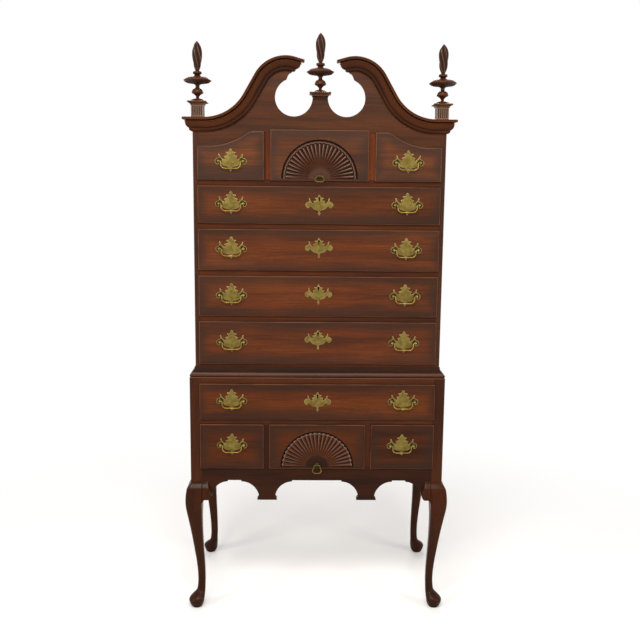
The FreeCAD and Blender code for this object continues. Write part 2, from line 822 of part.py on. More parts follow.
def drawer_solids(drawer):
    x0 = drawer.x0 + lip + side_clearance
    x1 = drawer.x1 - lip - side_clearance
    z0 = open_bottom(drawer) + run_gap
    z1 = open_top(drawer) - head_room
    y0 = drawer.front_y + block_thick
    y1 = rear_y(drawer)
    inner0 = x0 + box_side_thick
    inner1 = x1 - box_side_thick
    bottom_z = z0 + box_bottom_rise
    left = box(x0, inner0, y0, y1, z0, z1)
    right = box(inner1, x1, y0, y1, z0, z1)
    bottom = box(inner0, inner1, y0, y1, bottom_z, bottom_z + box_bottom_thick)
    back = box(inner0, inner1, y1 - box_back_thick, y1, bottom_z + box_bottom_thick,
               z1 - box_back_drop)
    inside = [left, right, bottom, back]
    if drawer.side < 0:
        inside = [mirror_x(solid) for solid in inside]
    return [drawer_front(drawer)] + inside


# --- Lower case ---------------------------------------------------------------------------------
def rounded_square(z, reach_out, reach_in, roundness):
    """Section of the front right leg at height z."""
    outer_x = lower_half + reach_out
    inner_x = lower_half - reach_in
    outer_y = lower_front_y - reach_out
    half = (outer_x - inner_x) / 2.0
    radius = half * roundness
    centre = V(outer_x - half, outer_y + half, z)
    flat = half - radius
    diagonal = flat + radius * math.sqrt(0.5)
    edges = []
    for quarter in range(4):
        angle = math.radians(90 * quarter)
        across = V(math.cos(angle), math.sin(angle), 0)
        along = V(-math.sin(angle), math.cos(angle), 0)
        side_start = centre + across * half - along * flat
        side_end = centre + across * half + along * flat
        corner = centre + across * diagonal + along * diagonal
        next_start = centre + along * half + across * flat
        edges.append(Part.LineSegment(side_start, side_end).toShape())
        edges.append(Part.Arc(side_end, corner, next_start).toShape())
    return Part.Wire(edges)


def front_right_leg():
    sections = [rounded_square(*station) for station in leg_stations]
    curve = Part.makeLoft(sections, True, False)
    post = box(lower_half - post_size, lower_half, lower_front_y, lower_front_y + post_size,
               knee_ledge_z, lower_top_z)
    return fused(curve, [post])


def bracket_outline(edge, toward):
    """Outline of a knee bracket; edge is the leg's face and toward the way it reaches."""
    def at(width, drop):
        return edge + toward * width, knee_ledge_z - drop
    wide = bracket_width
    points = [
        at(glue_line, 0) + (0,),
        at(bracket_top_width, 0) + (0,),
        at(wide, bracket_side_drop) + (toward * bracket_lobe_swell,),
        at(bracket_lobe_width, bracket_lobe_drop) + (0,),
        at(bracket_neck_width, bracket_lobe_drop) + (-toward * bracket_neck_swell,),
        at(glue_line, bracket_tip_drop) + (0,),
    ]
    return points


def knee_brackets():
    front = plate_along_y(bracket_outline(lower_open_half, -1), lower_front_y - bracket_proud,
                          lower_front_y - bracket_proud + bracket_depth)
    side = plate_along_x(bracket_outline(lower_front_y + post_size, 1),
                         lower_half + bracket_proud - bracket_depth, lower_half + bracket_proud)
    rear = mirror_depth(side)
    return both_sides(front) + both_sides(side) + both_sides(rear)


def front_apron():
    step_z = apron_flat_z - apron_step
    arch = step_z - pendant_neck_z
    outer_flat0, outer_flat1 = apron_outer_flat
    notch_x = lower_open_half - bracket_width
    base_top = pendant_base_z + pendant_base_height
    half = [
        (apron_centre_flat_half, apron_flat_z, 0),
        (apron_centre_flat_half, step_z, arch_swell),
        (pendant_x - pendant_neck_half, pendant_neck_z, 0),
        (pendant_x - pendant_base_half, base_top, 0),
        (pendant_x - pendant_base_half, pendant_base_z, 0),
        (pendant_x + pendant_base_half, pendant_base_z, 0),
        (pendant_x + pendant_base_half, base_top, 0),
        (pendant_x + pendant_neck_half, pendant_neck_z, arch_swell),
        (outer_flat0, step_z, 0),
        (outer_flat0, apron_flat_z, 0),
        (outer_flat1, apron_flat_z, 0),
        (outer_flat1, step_z, arch_swell),
        (notch_x, step_z - arch, 0),
        (notch_x, knee_ledge_z - bracket_side_drop, 0),
        (lower_open_half - bracket_top_width, knee_ledge_z, 0),
        (lower_open_half, knee_ledge_z, 0),
        (lower_open_half, open_bottom(lower_row), 0),
    ]
    return plate_along_y(with_left_half(half), lower_front_y, lower_front_y + apron_thick)


def lower_sides():
    y0 = lower_front_y + post_size
    y1 = back_y - post_size
    notch0 = y0 + bracket_width
    notch1 = y1 - bracket_width
    step_z = apron_flat_z - apron_step
    arch = step_z - pendant_neck_z
    side_z = knee_ledge_z - bracket_side_drop
    points = [
        (y0, lower_top_z, 0),
        (y0, knee_ledge_z, 0),
        (y0 + bracket_top_width, knee_ledge_z, 0),
        (notch0, side_z, 0),
        (notch0, step_z - arch, arch_swell),
        (notch0 + arch, step_z, 0),
        (notch0 + arch, apron_flat_z, 0),
        (notch1 - arch, apron_flat_z, 0),
        (notch1 - arch, step_z, arch_swell),
        (notch1, step_z - arch, 0),
        (notch1, side_z, 0),
        (y1 - bracket_top_width, knee_ledge_z, 0),
        (y1, knee_ledge_z, 0),
        (y1, lower_top_z, 0),
    ]
    return both_sides(plate_along_x(points, panel_inner, panel_outer))


def lower_back():
    return box(-lower_open_half, lower_open_half, lower_back_y, back_y, lower_back_bottom_z,
               lower_top_z)


def divider(inner_drawer, outer_drawer, z1):
    """Upright between the centre drawer and the right-hand drawer of a row of three."""
    y0 = outer_drawer.front_y
    return box(inner_drawer.x1 - lip, outer_drawer.x0 + lip, y0, y0 + divider_depth,
               open_bottom(outer_drawer), z1)


def lower_rails():
    y0 = lower_front_y
    y1 = y0 + rail_depth
    half = lower_open_half
    middle = box(-half, half, y0, y1, lower_row.z1 - lip, open_bottom(lower_long))
    top = box(-half, half, y0, y1, open_top(lower_long), lower_top_z)
    board = box(-half, half, y1, lower_back_y, lower_top_z - lower_board_thick, lower_top_z)
    uprights = both_sides(divider(lower_centre, lower_row, lower_row.z1 - lip))
    return [middle, top, board] + uprights


def runner_pair(half, width, y0, y1, z):
    """Runners along both case sides, their tops at height z."""
    return both_sides(box(half - width, half, y0, y1, z - runner_thick, z))


def centre_runners(inner_drawer, outer_drawer, y0, y1):
    """Runners behind the two dividers, each with a guide that keeps its two drawers apart."""
    x0 = inner_drawer.x1 - lip
    x1 = outer_drawer.x0 + lip
    z = open_bottom(outer_drawer)
    guide_y = outer_drawer.front_y + divider_depth
    runner = box(x0 - runner_width, x1 + runner_width, y0, y1, z - runner_thick, z)
    guide = box(x0, x1, guide_y, y1, z, z + guide_height)
    return both_sides(runner) + both_sides(guide)


def drawer_runners():
    solids = []
    upper_y = upper_front_y + rail_depth
    for number in range(2, len(upper_long_heights) + 1):
        drawer = DRAWERS["upper_long_%d" % number]
        solids += runner_pair(upper_open_half, runner_width, upper_y, upper_back_y,
                              open_bottom(drawer))
    solids += runner_pair(upper_open_half, runner_width, upper_y, upper_back_y,
                          open_bottom(top_row))
    solids += centre_runners(top_centre, top_row, upper_y, upper_back_y)
    lower_y = lower_front_y + rail_depth
    lower_width_in = panel_inner - lower_open_half + runner_width
    rear = back_y - post_size
    for drawer, y0 in ((lower_long, lower_y), (lower_row, lower_front_y + post_size)):
        z = open_bottom(drawer)
        solids += runner_pair(panel_inner, lower_width_in, y0, rear, z)
        solids += both_sides(box(lower_open_half, panel_inner, y0, rear, z, z + guide_height))
    solids += centre_runners(lower_centre, lower_row, lower_front_y + apron_thick, lower_back_y)
    return solids


# --- Mouldings ----------------------------------------------------------------------------------
def mitre_cutter(half, front_y, reach, z0, z1, keep_front):
    """Wedge outside a right-hand front corner, cut away so that two mouldings meet at 45 degrees."""
    a = (half, front_y)
    b = (half + reach, front_y - reach)
    c = (half + reach, front_y) if keep_front else (half, front_y - reach)
    corners = [V(x, y, z0) for x, y in (a, b, c, a)]
    return Part.Face(Part.makePolygon(corners)).extrude(V(0, 0, z1 - z0))


def moulding_profile(stations, projection, height):
    """Section of a moulding from the shares that its stations give."""
    return [(out * projection, along * height, swell) for out, along, swell in stations]


def waist_moulding():
    reach = upper_setback + cut_past
    z0 = lower_top_z
    z1 = z0 + waist_height
    profile = moulding_profile(waist_stations, upper_setback, waist_height)
    corner = upper_half + upper_setback
    front_wire = closed_wire(profile, lambda p, n: V(-corner, upper_front_y - p, z0 + n))
    front = Part.Face(front_wire).extrude(V(2 * corner, 0, 0))
    cutter = mitre_cutter(upper_half, upper_front_y, reach, z0, z1, True)
    front = front.cut(cutter).cut(mirror_x(cutter))
    side_y = upper_front_y - upper_setback
    side_wire = closed_wire(profile, lambda p, n: V(upper_half + p, side_y, z0 + n))
    side = Part.Face(side_wire).extrude(V(0, back_y - side_y, 0))
    side = side.cut(mitre_cutter(upper_half, upper_front_y, reach, z0, z1, False))
    return [front] + both_sides(side)


def cornice_profile():
    return moulding_profile(cornice_stations, cornice_projection, cornice_height)


def polar(centre, radius, degrees):
    angle = math.radians(degrees)
    return centre[0] + radius * math.cos(angle), centre[1] + radius * math.sin(angle)


neck_lower_centre = (neck_level_x, upper_top_z + neck_lower_radius)
neck_lower_end = polar(neck_lower_centre, neck_lower_radius, -90.0 - neck_turn)
neck_slope = (-math.cos(math.radians(neck_turn)), math.sin(math.radians(neck_turn)))
neck_upper_start = (neck_lower_end[0] + neck_straight * neck_slope[0],
                    neck_lower_end[1] + neck_straight * neck_slope[1])
neck_upper_centre = polar(neck_upper_start, neck_upper_radius, -90.0 - neck_turn)


def neck_piece(start, normal):
    """Face of the cornice's section with its top line at start and its depth along normal."""
    def place(projection, depth):
        return V(start[0] + normal[0] * depth, upper_front_y - projection,
                 start[1] + normal[1] * depth)
    return Part.Face(closed_wire(cornice_profile(), place))


def return_cutter():
    """Everything beyond the neck's returned end, which shows the cornice's section from the front."""
    angle = math.radians(neck_board_end)
    ahead = (-math.sin(angle), math.cos(angle))
    points = []
    for projection, depth, _ in cornice_profile()[1:-1]:
        x, z = polar(neck_upper_centre, neck_upper_radius - depth, neck_board_end)
        points.append((x + projection * ahead[0], z + projection * ahead[1]))
    first_x, first_z = points[0]
    last_x, last_z = points[-1]
    high_z = first_z + cornice_height
    low_z = last_z - cornice_height
    outline = [(first_x + 2.0 * cut_past * math.cos(angle), high_z)] + points
    outline += [(last_x, low_z), (-hole_x, low_z), (-hole_x, high_z)]
    y1 = upper_front_y
    return plate_along_y(straight(outline), y1 - cornice_projection - cut_past, y1 + cut_past)


def swan_neck():
    """Right-hand cornice front: level part, hollow arc, slope and rounded end in one piece."""
    reach = cornice_projection + cut_past
    corner = upper_half + cornice_projection
    level = neck_piece((corner, upper_top_z), (0, -1)).extrude(V(neck_level_x - corner, 0, 0))
    level = level.cut(mitre_cutter(upper_half, upper_front_y, reach,
                                   upper_top_z - cornice_height, upper_top_z, True))
    low_centre = V(neck_lower_centre[0], 0, neck_lower_centre[1])
    hollow = neck_piece((neck_level_x, upper_top_z), (0, -1))
    hollow = hollow.revolve(low_centre, V(0, 1, 0), neck_turn)
    slope_normal = (-neck_slope[1], neck_slope[0])
    slope = neck_piece(neck_lower_end, slope_normal)
    slope = slope.extrude(V(neck_straight * neck_slope[0], 0, neck_straight * neck_slope[1]))
    high_centre = V(neck_upper_centre[0], 0, neck_upper_centre[1])
    crown = neck_piece(neck_upper_start, slope_normal)
    crown = crown.revolve(high_centre, V(0, -1, 0), neck_tip_end - 90.0 + neck_turn)
    crown = crown.cut(return_cutter())
    return fused(level, [hollow, slope, crown])


def cornice_side():
    front = upper_front_y - cornice_projection
    wire = closed_wire(cornice_profile(), lambda p, n: V(upper_half + p, front, upper_top_z - n))
    side = Part.Face(wire).extrude(V(0, back_y - front, 0))
    return side.cut(mitre_cutter(upper_half, upper_front_y, cornice_projection + cut_past,
                                 upper_top_z - cornice_height, upper_top_z, False))


def cornice_mouldings():
    return both_sides(swan_neck()) + both_sides(cornice_side())


def pediment_board():
    """Board behind the swan necks, with the scrolled openings of the top drawers along its foot."""
    centre_top = top_centre.z1 - lip
    inner_top = top_row.z1 - lip
    half_turn = math.radians(neck_turn)
    crown_turn = math.radians(neck_board_end - 90.0 + neck_turn)
    hole_turn = math.radians(180.0 + hole_open_angle)
    open_point = polar((hole_x, hole_z), hole_radius, hole_open_angle)
    end_top = polar(neck_upper_centre, neck_upper_radius, neck_board_end)
    end_low = polar(neck_upper_centre, neck_upper_radius - cornice_height, neck_board_end)
    half = [
        (top_centre.x1 - lip, centre_top, 0),
        (top_centre.x1 - lip, inner_top, 0),
        *scroll_arcs(top_row, lip),
        (upper_open_half, open_top(top_row), 0),
        (upper_open_half, upper_top_z, 0),
        (neck_level_x, upper_top_z, swell_of(half_turn)),
        neck_lower_end + (0,),
        neck_upper_start + (-swell_of(crown_turn),),
        end_top + (0,),
        end_low + (0,),
        *((x, upper_top_z + rise, 0) for x, rise in board_nib),
        open_point + (swell_of(hole_turn),),
        (hole_x - hole_radius, hole_z, 0),
        (hole_x - hole_radius, centre_plinth_z, 0),
    ]
    return plate_along_y(with_left_half(half), upper_front_y, upper_front_y + pediment_thick)


# --- Upper case ---------------------------------------------------------------------------------
def back_screw_places():
    """Screws through the ends of the upper back boards: x, z of the right-hand ones."""
    height = (upper_top_z - lower_top_z) / back_board_count
    places = []
    for index in range(back_board_count):
        low = lower_top_z + index * height
        for share in back_screw_shares:
            places.append((upper_open_half + back_rabbet / 2, low + height * share))
    return places


def screw(x, z):
    head = cylinder(screw_head_radius, screw_head_thick, V(x, back_y, z), V(0, 1, 0))
    shank = cylinder(screw_radius, screw_length, V(x, back_y, z), V(0, -1, 0))
    return fused(head, [shank])


def screw_hole(x, z):
    return cylinder(screw_radius, screw_length, V(x, back_y, z), V(0, -1, 0))


def case_screws():
    return [item for x, z in back_screw_places() for item in both_sides(screw(x, z))]


def upper_sides():
    side = box(upper_open_half, upper_half, upper_front_y, back_y, lower_top_z, upper_top_z)
    rabbet = box(upper_open_half, upper_open_half + back_rabbet, upper_back_y, back_y,
                 lower_top_z, upper_top_z)
    side = side.cut(rabbet)
    for x, z in back_screw_places():
        side = side.cut(screw_hole(x, z))
    return both_sides(side)


def upper_backs():
    height = (upper_top_z - lower_top_z) / back_board_count
    half = upper_open_half + back_rabbet
    boards = []
    for index in range(back_board_count):
        low = lower_top_z + index * height
        high = low + height - (back_board_gap if index < back_board_count - 1 else 0.0)
        boards.append(box(-half, half, upper_back_y, back_y, low, high))
    drilled = []
    for board in boards:
        for x, z in back_screw_places():
            board = board.cut(screw_hole(x, z)).cut(screw_hole(-x, z))
        drilled.append(board)
    return drilled


def upper_boards():
    half = upper_open_half
    floor_z = open_bottom(DRAWERS["upper_long_1"])
    floor = box(-half, half, upper_front_y + rail_depth, upper_back_y,
                floor_z - upper_board_thick, floor_z)
    roof = box(-half, half, upper_front_y + pediment_thick, upper_back_y,
               upper_top_z - upper_board_thick, upper_top_z)
    return [floor, roof]


def upper_rails():
    y0 = upper_front_y
    y1 = y0 + rail_depth
    half = upper_open_half
    solids = [box(-half, half, y0, y1, lower_top_z, open_bottom(DRAWERS["upper_long_1"]))]
    for number in range(2, len(upper_long_heights) + 1):
        below = DRAWERS["upper_long_%d" % (number - 1)]
        above = DRAWERS["upper_long_%d" % number]
        solids.append(box(-half, half, y0, y1, below.z1 - lip, open_bottom(above)))
    last = DRAWERS["upper_long_%d" % len(upper_long_heights)]
    solids.append(box(-half, half, y0, y1, last.z1 - lip, open_bottom(top_row)))
    uprights = both_sides(divider(top_centre, top_row, top_row.z1 - lip))
    return solids + uprights


# --- Pediment ornaments -------------------------------------------------------------------------
def splayed_cap(x, y, z0, low_half, top_half, height):
    """Square cap: a splay below a thin flat slab."""
    slab = height * cap_slab_share
    low = Part.makePolygon([V(x + a * low_half, y + b * low_half, z0)
                            for a, b in ((-1, -1), (1, -1), (1, 1), (-1, 1), (-1, -1))])
    high = Part.makePolygon([V(x + a * top_half, y + b * top_half, z0 + height - slab)
                             for a, b in ((-1, -1), (1, -1), (1, 1), (-1, 1), (-1, -1))])
    splay = Part.makeLoft([low, high], True, True)
    top = box(x - top_half, x + top_half, y - top_half, y + top_half, z0 + height - slab,
              z0 + height)
    cap = fused(splay, [top])
    dowel = cylinder(dowel_radius, dowel_length, V(x, y, z0 + height), V(0, 0, -1))
    return cap.cut(dowel)


def side_plinth():
    """Fluted square shaft with its cap, on the right-hand corner of the cornice."""
    y = upper_front_y + plinth_setback
    z0 = upper_top_z
    z1 = z0 + plinth_height
    shaft = box(plinth_x - plinth_half, plinth_x + plinth_half, y - plinth_half, y + plinth_half,
                z0, z1)
    pitch = 2.0 * plinth_half / (flute_count + 1)
    for index in range(flute_count):
        offset = (index - (flute_count - 1) / 2.0) * pitch
        for sx, sy in ((plinth_x + offset, y - plinth_half), (plinth_x + offset, y + plinth_half),
                       (plinth_x - plinth_half, y + offset), (plinth_x + plinth_half, y + offset)):
            start = V(sx, sy, z0 + flute_stop)
            length = plinth_height - 2.0 * flute_stop
            shaft = shaft.cut(cylinder(flute_radius, length, start, V(0, 0, 1)))
    cap = splayed_cap(plinth_x, y, z1, plinth_half + cap_foot_reach, plinth_cap_half,
                      plinth_cap_height)
    return [shaft, cap]


def centre_cap_y():
    return upper_front_y + pediment_thick / 2.0


def centre_plinth():
    """Cap on the board's neck between the two holes, and the post glued behind the neck."""
    y = centre_cap_y()
    cap = splayed_cap(0.0, y, centre_plinth_z, centre_plinth_half + cap_foot_reach,
                      centre_cap_half, plinth_cap_height)
    post_y = upper_front_y + pediment_thick
    post = box(-centre_plinth_half, centre_plinth_half, post_y, post_y + 2.0 * plinth_half,
               upper_top_z, centre_plinth_z)
    return [cap, post]


def finial(x, y, z0):
    """Turned and carved finial on its dowel, standing on a cap at z0."""
    edges = [Part.LineSegment(V(x, y, z0), V(x + finial_turning[0][1], y, z0)).toShape()]
    for (h0, r0, swell), (h1, r1, _) in zip(finial_turning, finial_turning[1:]):
        start = V(x + r0, y, z0 + h0)
        end = V(x + r1, y, z0 + h1)
        if swell == 0:
            edges.append(Part.LineSegment(start, end).toShape())
        else:
            middle = V(x + (r0 + r1) / 2 + swell * (h1 - h0), y,
                       z0 + (h0 + h1) / 2 - swell * (r1 - r0))
            edges.append(Part.Arc(start, middle, end).toShape())
    top = z0 + finial_turning[-1][0]
    edges.append(Part.LineSegment(V(x + finial_turning[-1][1], y, top), V(x, y, top)).toShape())
    edges.append(Part.LineSegment(V(x, y, top), V(x, y, z0)).toShape())
    turned = Part.Face(Part.Wire(edges)).revolve(V(x, y, z0), V(0, 0, 1), 360.0)
    dowel = cylinder(dowel_radius, dowel_length, V(x, y, z0), V(0, 0, -1))
    return fused(turned, [dowel])


# --- Build --------------------------------------------------------------------------------------
def main():
    os.makedirs("parts", exist_ok=True)
    leg = front_right_leg()
    rear_leg = mirror_depth(leg)
    export("leg_front_right", [leg])
    export("leg_front_left", [mirror_x(leg)])
    export("leg_back_right", [rear_leg])
    export("leg_back_left", [mirror_x(rear_leg)])
    export("knee_brackets", knee_brackets())
    export("lower_case_sides", lower_sides())
    export("lower_case_back", [lower_back()])
    export("front_apron", [front_apron()])
    export("lower_case_rails", lower_rails())
    export("drawer_runners", drawer_runners())
    export("waist_moulding", waist_moulding())
    export("upper_case_sides", upper_sides())
    export("upper_case_back", upper_backs())
    export("upper_case_boards", upper_boards())
    export("upper_case_rails", upper_rails())
    export("pediment_board", [pediment_board()])
    export("cornice_mouldings", cornice_mouldings())
    plinth = side_plinth()
    export("finial_plinths", plinth + [mirror_x(piece) for piece in plinth] + centre_plinth())
    side_finial_z = upper_top_z + plinth_height + plinth_cap_height
    side_finial = finial(plinth_x, upper_front_y + plinth_setback, side_finial_z)
    export("finial_right", [side_finial])
    export("finial_left", [finial(-plinth_x, upper_front_y + plinth_setback, side_finial_z)])
    export("finial_centre", [finial(0.0, centre_cap_y(), centre_plinth_z + plinth_cap_height)])
    export("case_screws", case_screws())

    for drawer in DRAWERS.values():
        export("drawer_" + drawer.name, drawer_solids(drawer))
        export("brasses_" + drawer.name, drawer_brasses(drawer))
        for x in drawer.handles:
            hand = ""
            if len(drawer.handles) > 1:
                hand = "_left" if x < 0 else "_right"
            export("bail_" + drawer.name + hand, [bail(handle_axis(drawer, x))])
        if drawer.pull:
            export("bail_" + drawer.name, [drop_bail(drop_axis(drawer), drawer.pull)])


main()
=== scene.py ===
# %% [markdown]
# # A highboy, piece by piece
#
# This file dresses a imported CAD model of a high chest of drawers. The CAD model fixes where every
# piece is and how it moves. Here each piece gets the shape details and the finish that a maker
# would give it: carved fans, run mouldings, cast brasses, and polished mahogany.
#
# Lengths are written in millimetres, as on a workshop drawing, and become metres when a mesh is
# made. Inside a finish they are metres, because a material reads the object's own coordinates.

# %% Load the fixed frame
import math
import bmesh
import bpy
import numpy as np
from collections import namedtuple
from mathutils import Matrix, Vector
from mathutils.geometry import delaunay_2d_cdt


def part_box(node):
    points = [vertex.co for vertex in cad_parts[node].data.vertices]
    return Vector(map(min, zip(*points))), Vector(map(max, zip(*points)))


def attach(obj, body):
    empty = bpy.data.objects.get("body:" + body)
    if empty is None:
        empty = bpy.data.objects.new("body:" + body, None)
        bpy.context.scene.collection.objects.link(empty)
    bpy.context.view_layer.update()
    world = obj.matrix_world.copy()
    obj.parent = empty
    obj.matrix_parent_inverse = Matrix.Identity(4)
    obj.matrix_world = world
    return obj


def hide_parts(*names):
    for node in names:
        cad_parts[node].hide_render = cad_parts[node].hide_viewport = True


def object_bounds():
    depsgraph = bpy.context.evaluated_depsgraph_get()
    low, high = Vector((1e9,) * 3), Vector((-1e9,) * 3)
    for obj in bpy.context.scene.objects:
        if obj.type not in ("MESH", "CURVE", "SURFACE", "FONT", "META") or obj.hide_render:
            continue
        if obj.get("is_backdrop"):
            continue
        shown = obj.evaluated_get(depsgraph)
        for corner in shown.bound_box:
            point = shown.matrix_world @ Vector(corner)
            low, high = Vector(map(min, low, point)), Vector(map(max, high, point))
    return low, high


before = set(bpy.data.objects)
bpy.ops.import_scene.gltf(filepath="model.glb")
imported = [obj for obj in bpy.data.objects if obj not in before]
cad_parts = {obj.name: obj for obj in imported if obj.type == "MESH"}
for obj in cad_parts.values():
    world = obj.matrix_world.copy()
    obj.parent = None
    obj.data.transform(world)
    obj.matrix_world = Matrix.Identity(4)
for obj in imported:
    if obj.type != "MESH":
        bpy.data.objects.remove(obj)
cad_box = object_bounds()
MM = 0.001
scene = bpy.context.scene

# %% [markdown]
# ## The camera
# The camera stands about three metres in front of the chest, a little left of its middle and at eye
# height, and looks slightly down. Its tilt, turn and roll are turned into three axis vectors, which
# are the columns of the camera's rotation.

# %% Camera
focal_pixels = 844.8
picture_pixels = 640.0
camera_place = Vector((-0.0541, -3.376, 1.6411))
tilt, turn, roll = (math.radians(angle) for angle in (8.976, -1.115, 0.566))


def turned(x, y, z):
    c, s = math.cos(turn), math.sin(turn)
    return Vector((c * x - s * y, s * x + c * y, z))


forward = turned(0.0, math.cos(tilt), -math.sin(tilt))
right = turned(math.cos(roll), math.sin(tilt) * math.sin(roll), math.cos(tilt) * math.sin(roll))
up = turned(-math.sin(roll), math.sin(tilt) * math.cos(roll), math.cos(tilt) * math.cos(roll))
camera_data = bpy.data.cameras.new("camera")
camera_data.sensor_width = 36.0
camera_data.lens = focal_pixels / picture_pixels * camera_data.sensor_width
camera = bpy.data.objects.new("camera", camera_data)
camera_turn = Matrix((right, up, -forward)).transposed().to_4x4()
camera.matrix_world = Matrix.Translation(camera_place) @ camera_turn
scene.collection.objects.link(camera)
scene.camera = camera
print("lens %.2f mm" % camera_data.lens)

# %% [markdown]
# ## Nodes in one line
# Lamps, finishes and repeated pieces are all made of nodes. `node` adds one, sets its properties
# and fills its inputs with values or links. The helpers after it are the kinds that come up again.

# %% Node helpers


def node(tree, kind, inputs=(), **settings):
    """Adds a node, sets its properties, and sets or links its inputs, given as (socket, value)."""
    made = tree.nodes.new(kind)
    for key, value in settings.items():
        setattr(made, key, value)
    for socket, value in inputs:
        if isinstance(value, bpy.types.NodeSocket):
            tree.links.new(value, made.inputs[socket])
        else:
            made.inputs[socket].default_value = value
    return made


def maths(tree, operation, *values):
    return node(tree, "ShaderNodeMath", enumerate(values), operation=operation).outputs[0]


def times(tree, first, second):
    return maths(tree, "MULTIPLY", first, second)


def minus(tree, first, second):
    return maths(tree, "SUBTRACT", first, second)


def vector_of(tree, *values):
    return node(tree, "ShaderNodeCombineXYZ", enumerate(values)).outputs[0]


def remap(tree, value, low, high, to_low=0.0, to_high=1.0):
    """An even S from one value to another, as the input goes from low to high."""
    inputs = [("Value", value), ("From Min", low), ("From Max", high),
              ("To Min", to_low), ("To Max", to_high)]
    return node(tree, "ShaderNodeMapRange", inputs, interpolation_type="SMOOTHSTEP").outputs["Result"]


def blend(tree, mask, first, second, kind="MIX"):
    """Colour mix: first where the mask is 0, second where it is 1."""
    inputs = [(0, mask), (6, first), (7, second)]
    return node(tree, "ShaderNodeMix", inputs, data_type="RGBA", blend_type=kind).outputs[2]


def noise(tree, vector, scale, stretch=(1, 1, 1), detail=2.0):
    drawn = node(tree, "ShaderNodeVectorMath", [(0, vector), (1, stretch)], operation="MULTIPLY")
    inputs = [("Vector", drawn.outputs[0]), ("Scale", scale), ("Detail", detail)]
    return node(tree, "ShaderNodeTexNoise", inputs).outputs[0]


def place_in(tree, source="Object"):
    return node(tree, "ShaderNodeTexCoord").outputs[source]


def attribute(tree, name):
    return node(tree, "ShaderNodeAttribute", attribute_name=name).outputs["Fac"]


def simple_material(name):
    made = bpy.data.materials.new(name)
    made.use_nodes = True
    made.node_tree.nodes.clear()
    return made, made.node_tree


print("node helpers ready")

# %% [markdown]
# ## The studio
# A pale floor and a white surround, lit by four big soft boxes and a little light from all round.
# A soft box is an area lamp: the larger it is, the softer its shadow. The light is kept at a plain
# level, so that a colour renders about as it is written. The surround is white only to the camera
# and to mirror and glass rays, which keeps stray light off the wood. The floor fades to white with
# its distance from the chest.

# %% Studio
scene.view_settings.view_transform = "Standard"
ROOM_LIGHT, FLOOR_GREY, FLOOR_GLOW = 0.33, 0.88, 0.16
FADE_FROM, FADE_TO = 0.9, 2.2


def white_to_camera(tree, plain, white):
    """Shows one shader to camera, glossy and see-through rays, and the other to all the rest."""
    path = node(tree, "ShaderNodeLightPath").outputs
    either = maths(tree, "MAXIMUM", path["Is Camera Ray"], path["Is Glossy Ray"])
    any_ray = maths(tree, "MAXIMUM", either, path["Is Transmission Ray"])
    return node(tree, "ShaderNodeMixShader", [(0, any_ray), (1, plain), (2, white)]).outputs[0]


scene.world = bpy.data.worlds.new("studio")
scene.world.use_nodes = True
sky = scene.world.node_tree
sky.nodes.clear()
room = node(sky, "ShaderNodeBackground", [("Color", (1.0, 0.98, 0.96, 1.0)), ("Strength", ROOM_LIGHT)])
surround = node(sky, "ShaderNodeBackground", [("Color", (1.0, 1.0, 1.0, 1.0)), ("Strength", 1.0)])
node(sky, "ShaderNodeOutputWorld", [(0, white_to_camera(sky, room.outputs[0], surround.outputs[0]))])

for name, place, aim_height, size, power in (
        ("top_box", (-0.3, -3.0, 4.0), 1.3, (2.6, 1.1), 130),
        ("left_box", (-3.8, -2.8, 2.3), 1.1, (1.6, 2.2), 90),
        ("right_box", (3.8, -2.8, 2.1), 1.1, (1.6, 2.2), 76),
        ("back_box", (0.0, 3.6, 3.2), 1.2, (3.0, 1.6), 76)):
    data = bpy.data.lights.new(name, "AREA")
    data.shape = "RECTANGLE"
    data.size, data.size_y = size
    data.energy = power
    data.color = (1.0, 0.97, 0.93)
    lamp = bpy.data.objects.new(name, data)
    lamp.location = place
    aim = Vector((0, 0, aim_height)) - Vector(place)
    lamp.rotation_euler = aim.to_track_quat("-Z", "Y").to_euler()
    scene.collection.objects.link(lamp)

paper, tree = simple_material("studio_floor")
matte = node(tree, "ShaderNodeBsdfDiffuse", [("Color", (FLOOR_GREY,) * 3 + (1.0,))]).outputs[0]
glow = node(tree, "ShaderNodeEmission", [("Strength", FLOOR_GLOW)]).outputs[0]
lit = node(tree, "ShaderNodeAddShader", [(0, matte), (1, glow)]).outputs[0]
away = node(tree, "ShaderNodeVectorMath", [(0, place_in(tree))], operation="LENGTH").outputs["Value"]
sweep = node(tree, "ShaderNodeEmission", [("Strength", 1.0)]).outputs[0]
faded = node(tree, "ShaderNodeMixShader", [(0, remap(tree, away, FADE_FROM, FADE_TO)), (1, lit), (2, sweep)])
node(tree, "ShaderNodeOutputMaterial", [(0, white_to_camera(tree, matte, faded.outputs[0]))])
floor_mesh = bpy.data.meshes.new("floor")
floor_mesh.from_pydata([(-9, -9, 0), (9, -9, 0), (9, 9, 0), (-9, 9, 0)], [], [(0, 1, 2, 3)])
floor_mesh.materials.append(paper)
floor = bpy.data.objects.new("floor", floor_mesh)
scene.collection.objects.link(floor)
floor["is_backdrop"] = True
print("lamps and floor ready")

# %% [markdown]
# ## Shared finishes
# Wood grain, edge wear, and the dirt, painted shade and painted highlight of a carving are effects that
# several finishes use, so each is a shader node group, built once. A group has named inputs and puts
# out colours and masks.
# The shader itself, the Principled BSDF, stays in each material.
#
# Grain is noise that is stretched along one axis. The group stretches along X, and a Mapping node
# in each material turns the object's own coordinates so that X is the way the board's grain runs.

# %% Grain, age, and dirt, painted shade and highlight groups
GRIME, WORN = (0.028, 0.0135, 0.0085, 1), (0.235, 0.072, 0.021, 1)
# DIRT_AND_SHADE is near black: dirt and painted shade in hollows. PAINTED_SHEEN is a pale painted highlight
# on crests.
DIRT_AND_SHADE, PAINTED_SHEEN = (0.0085, 0.0055, 0.0045, 1), (0.205, 0.140, 0.112, 1)


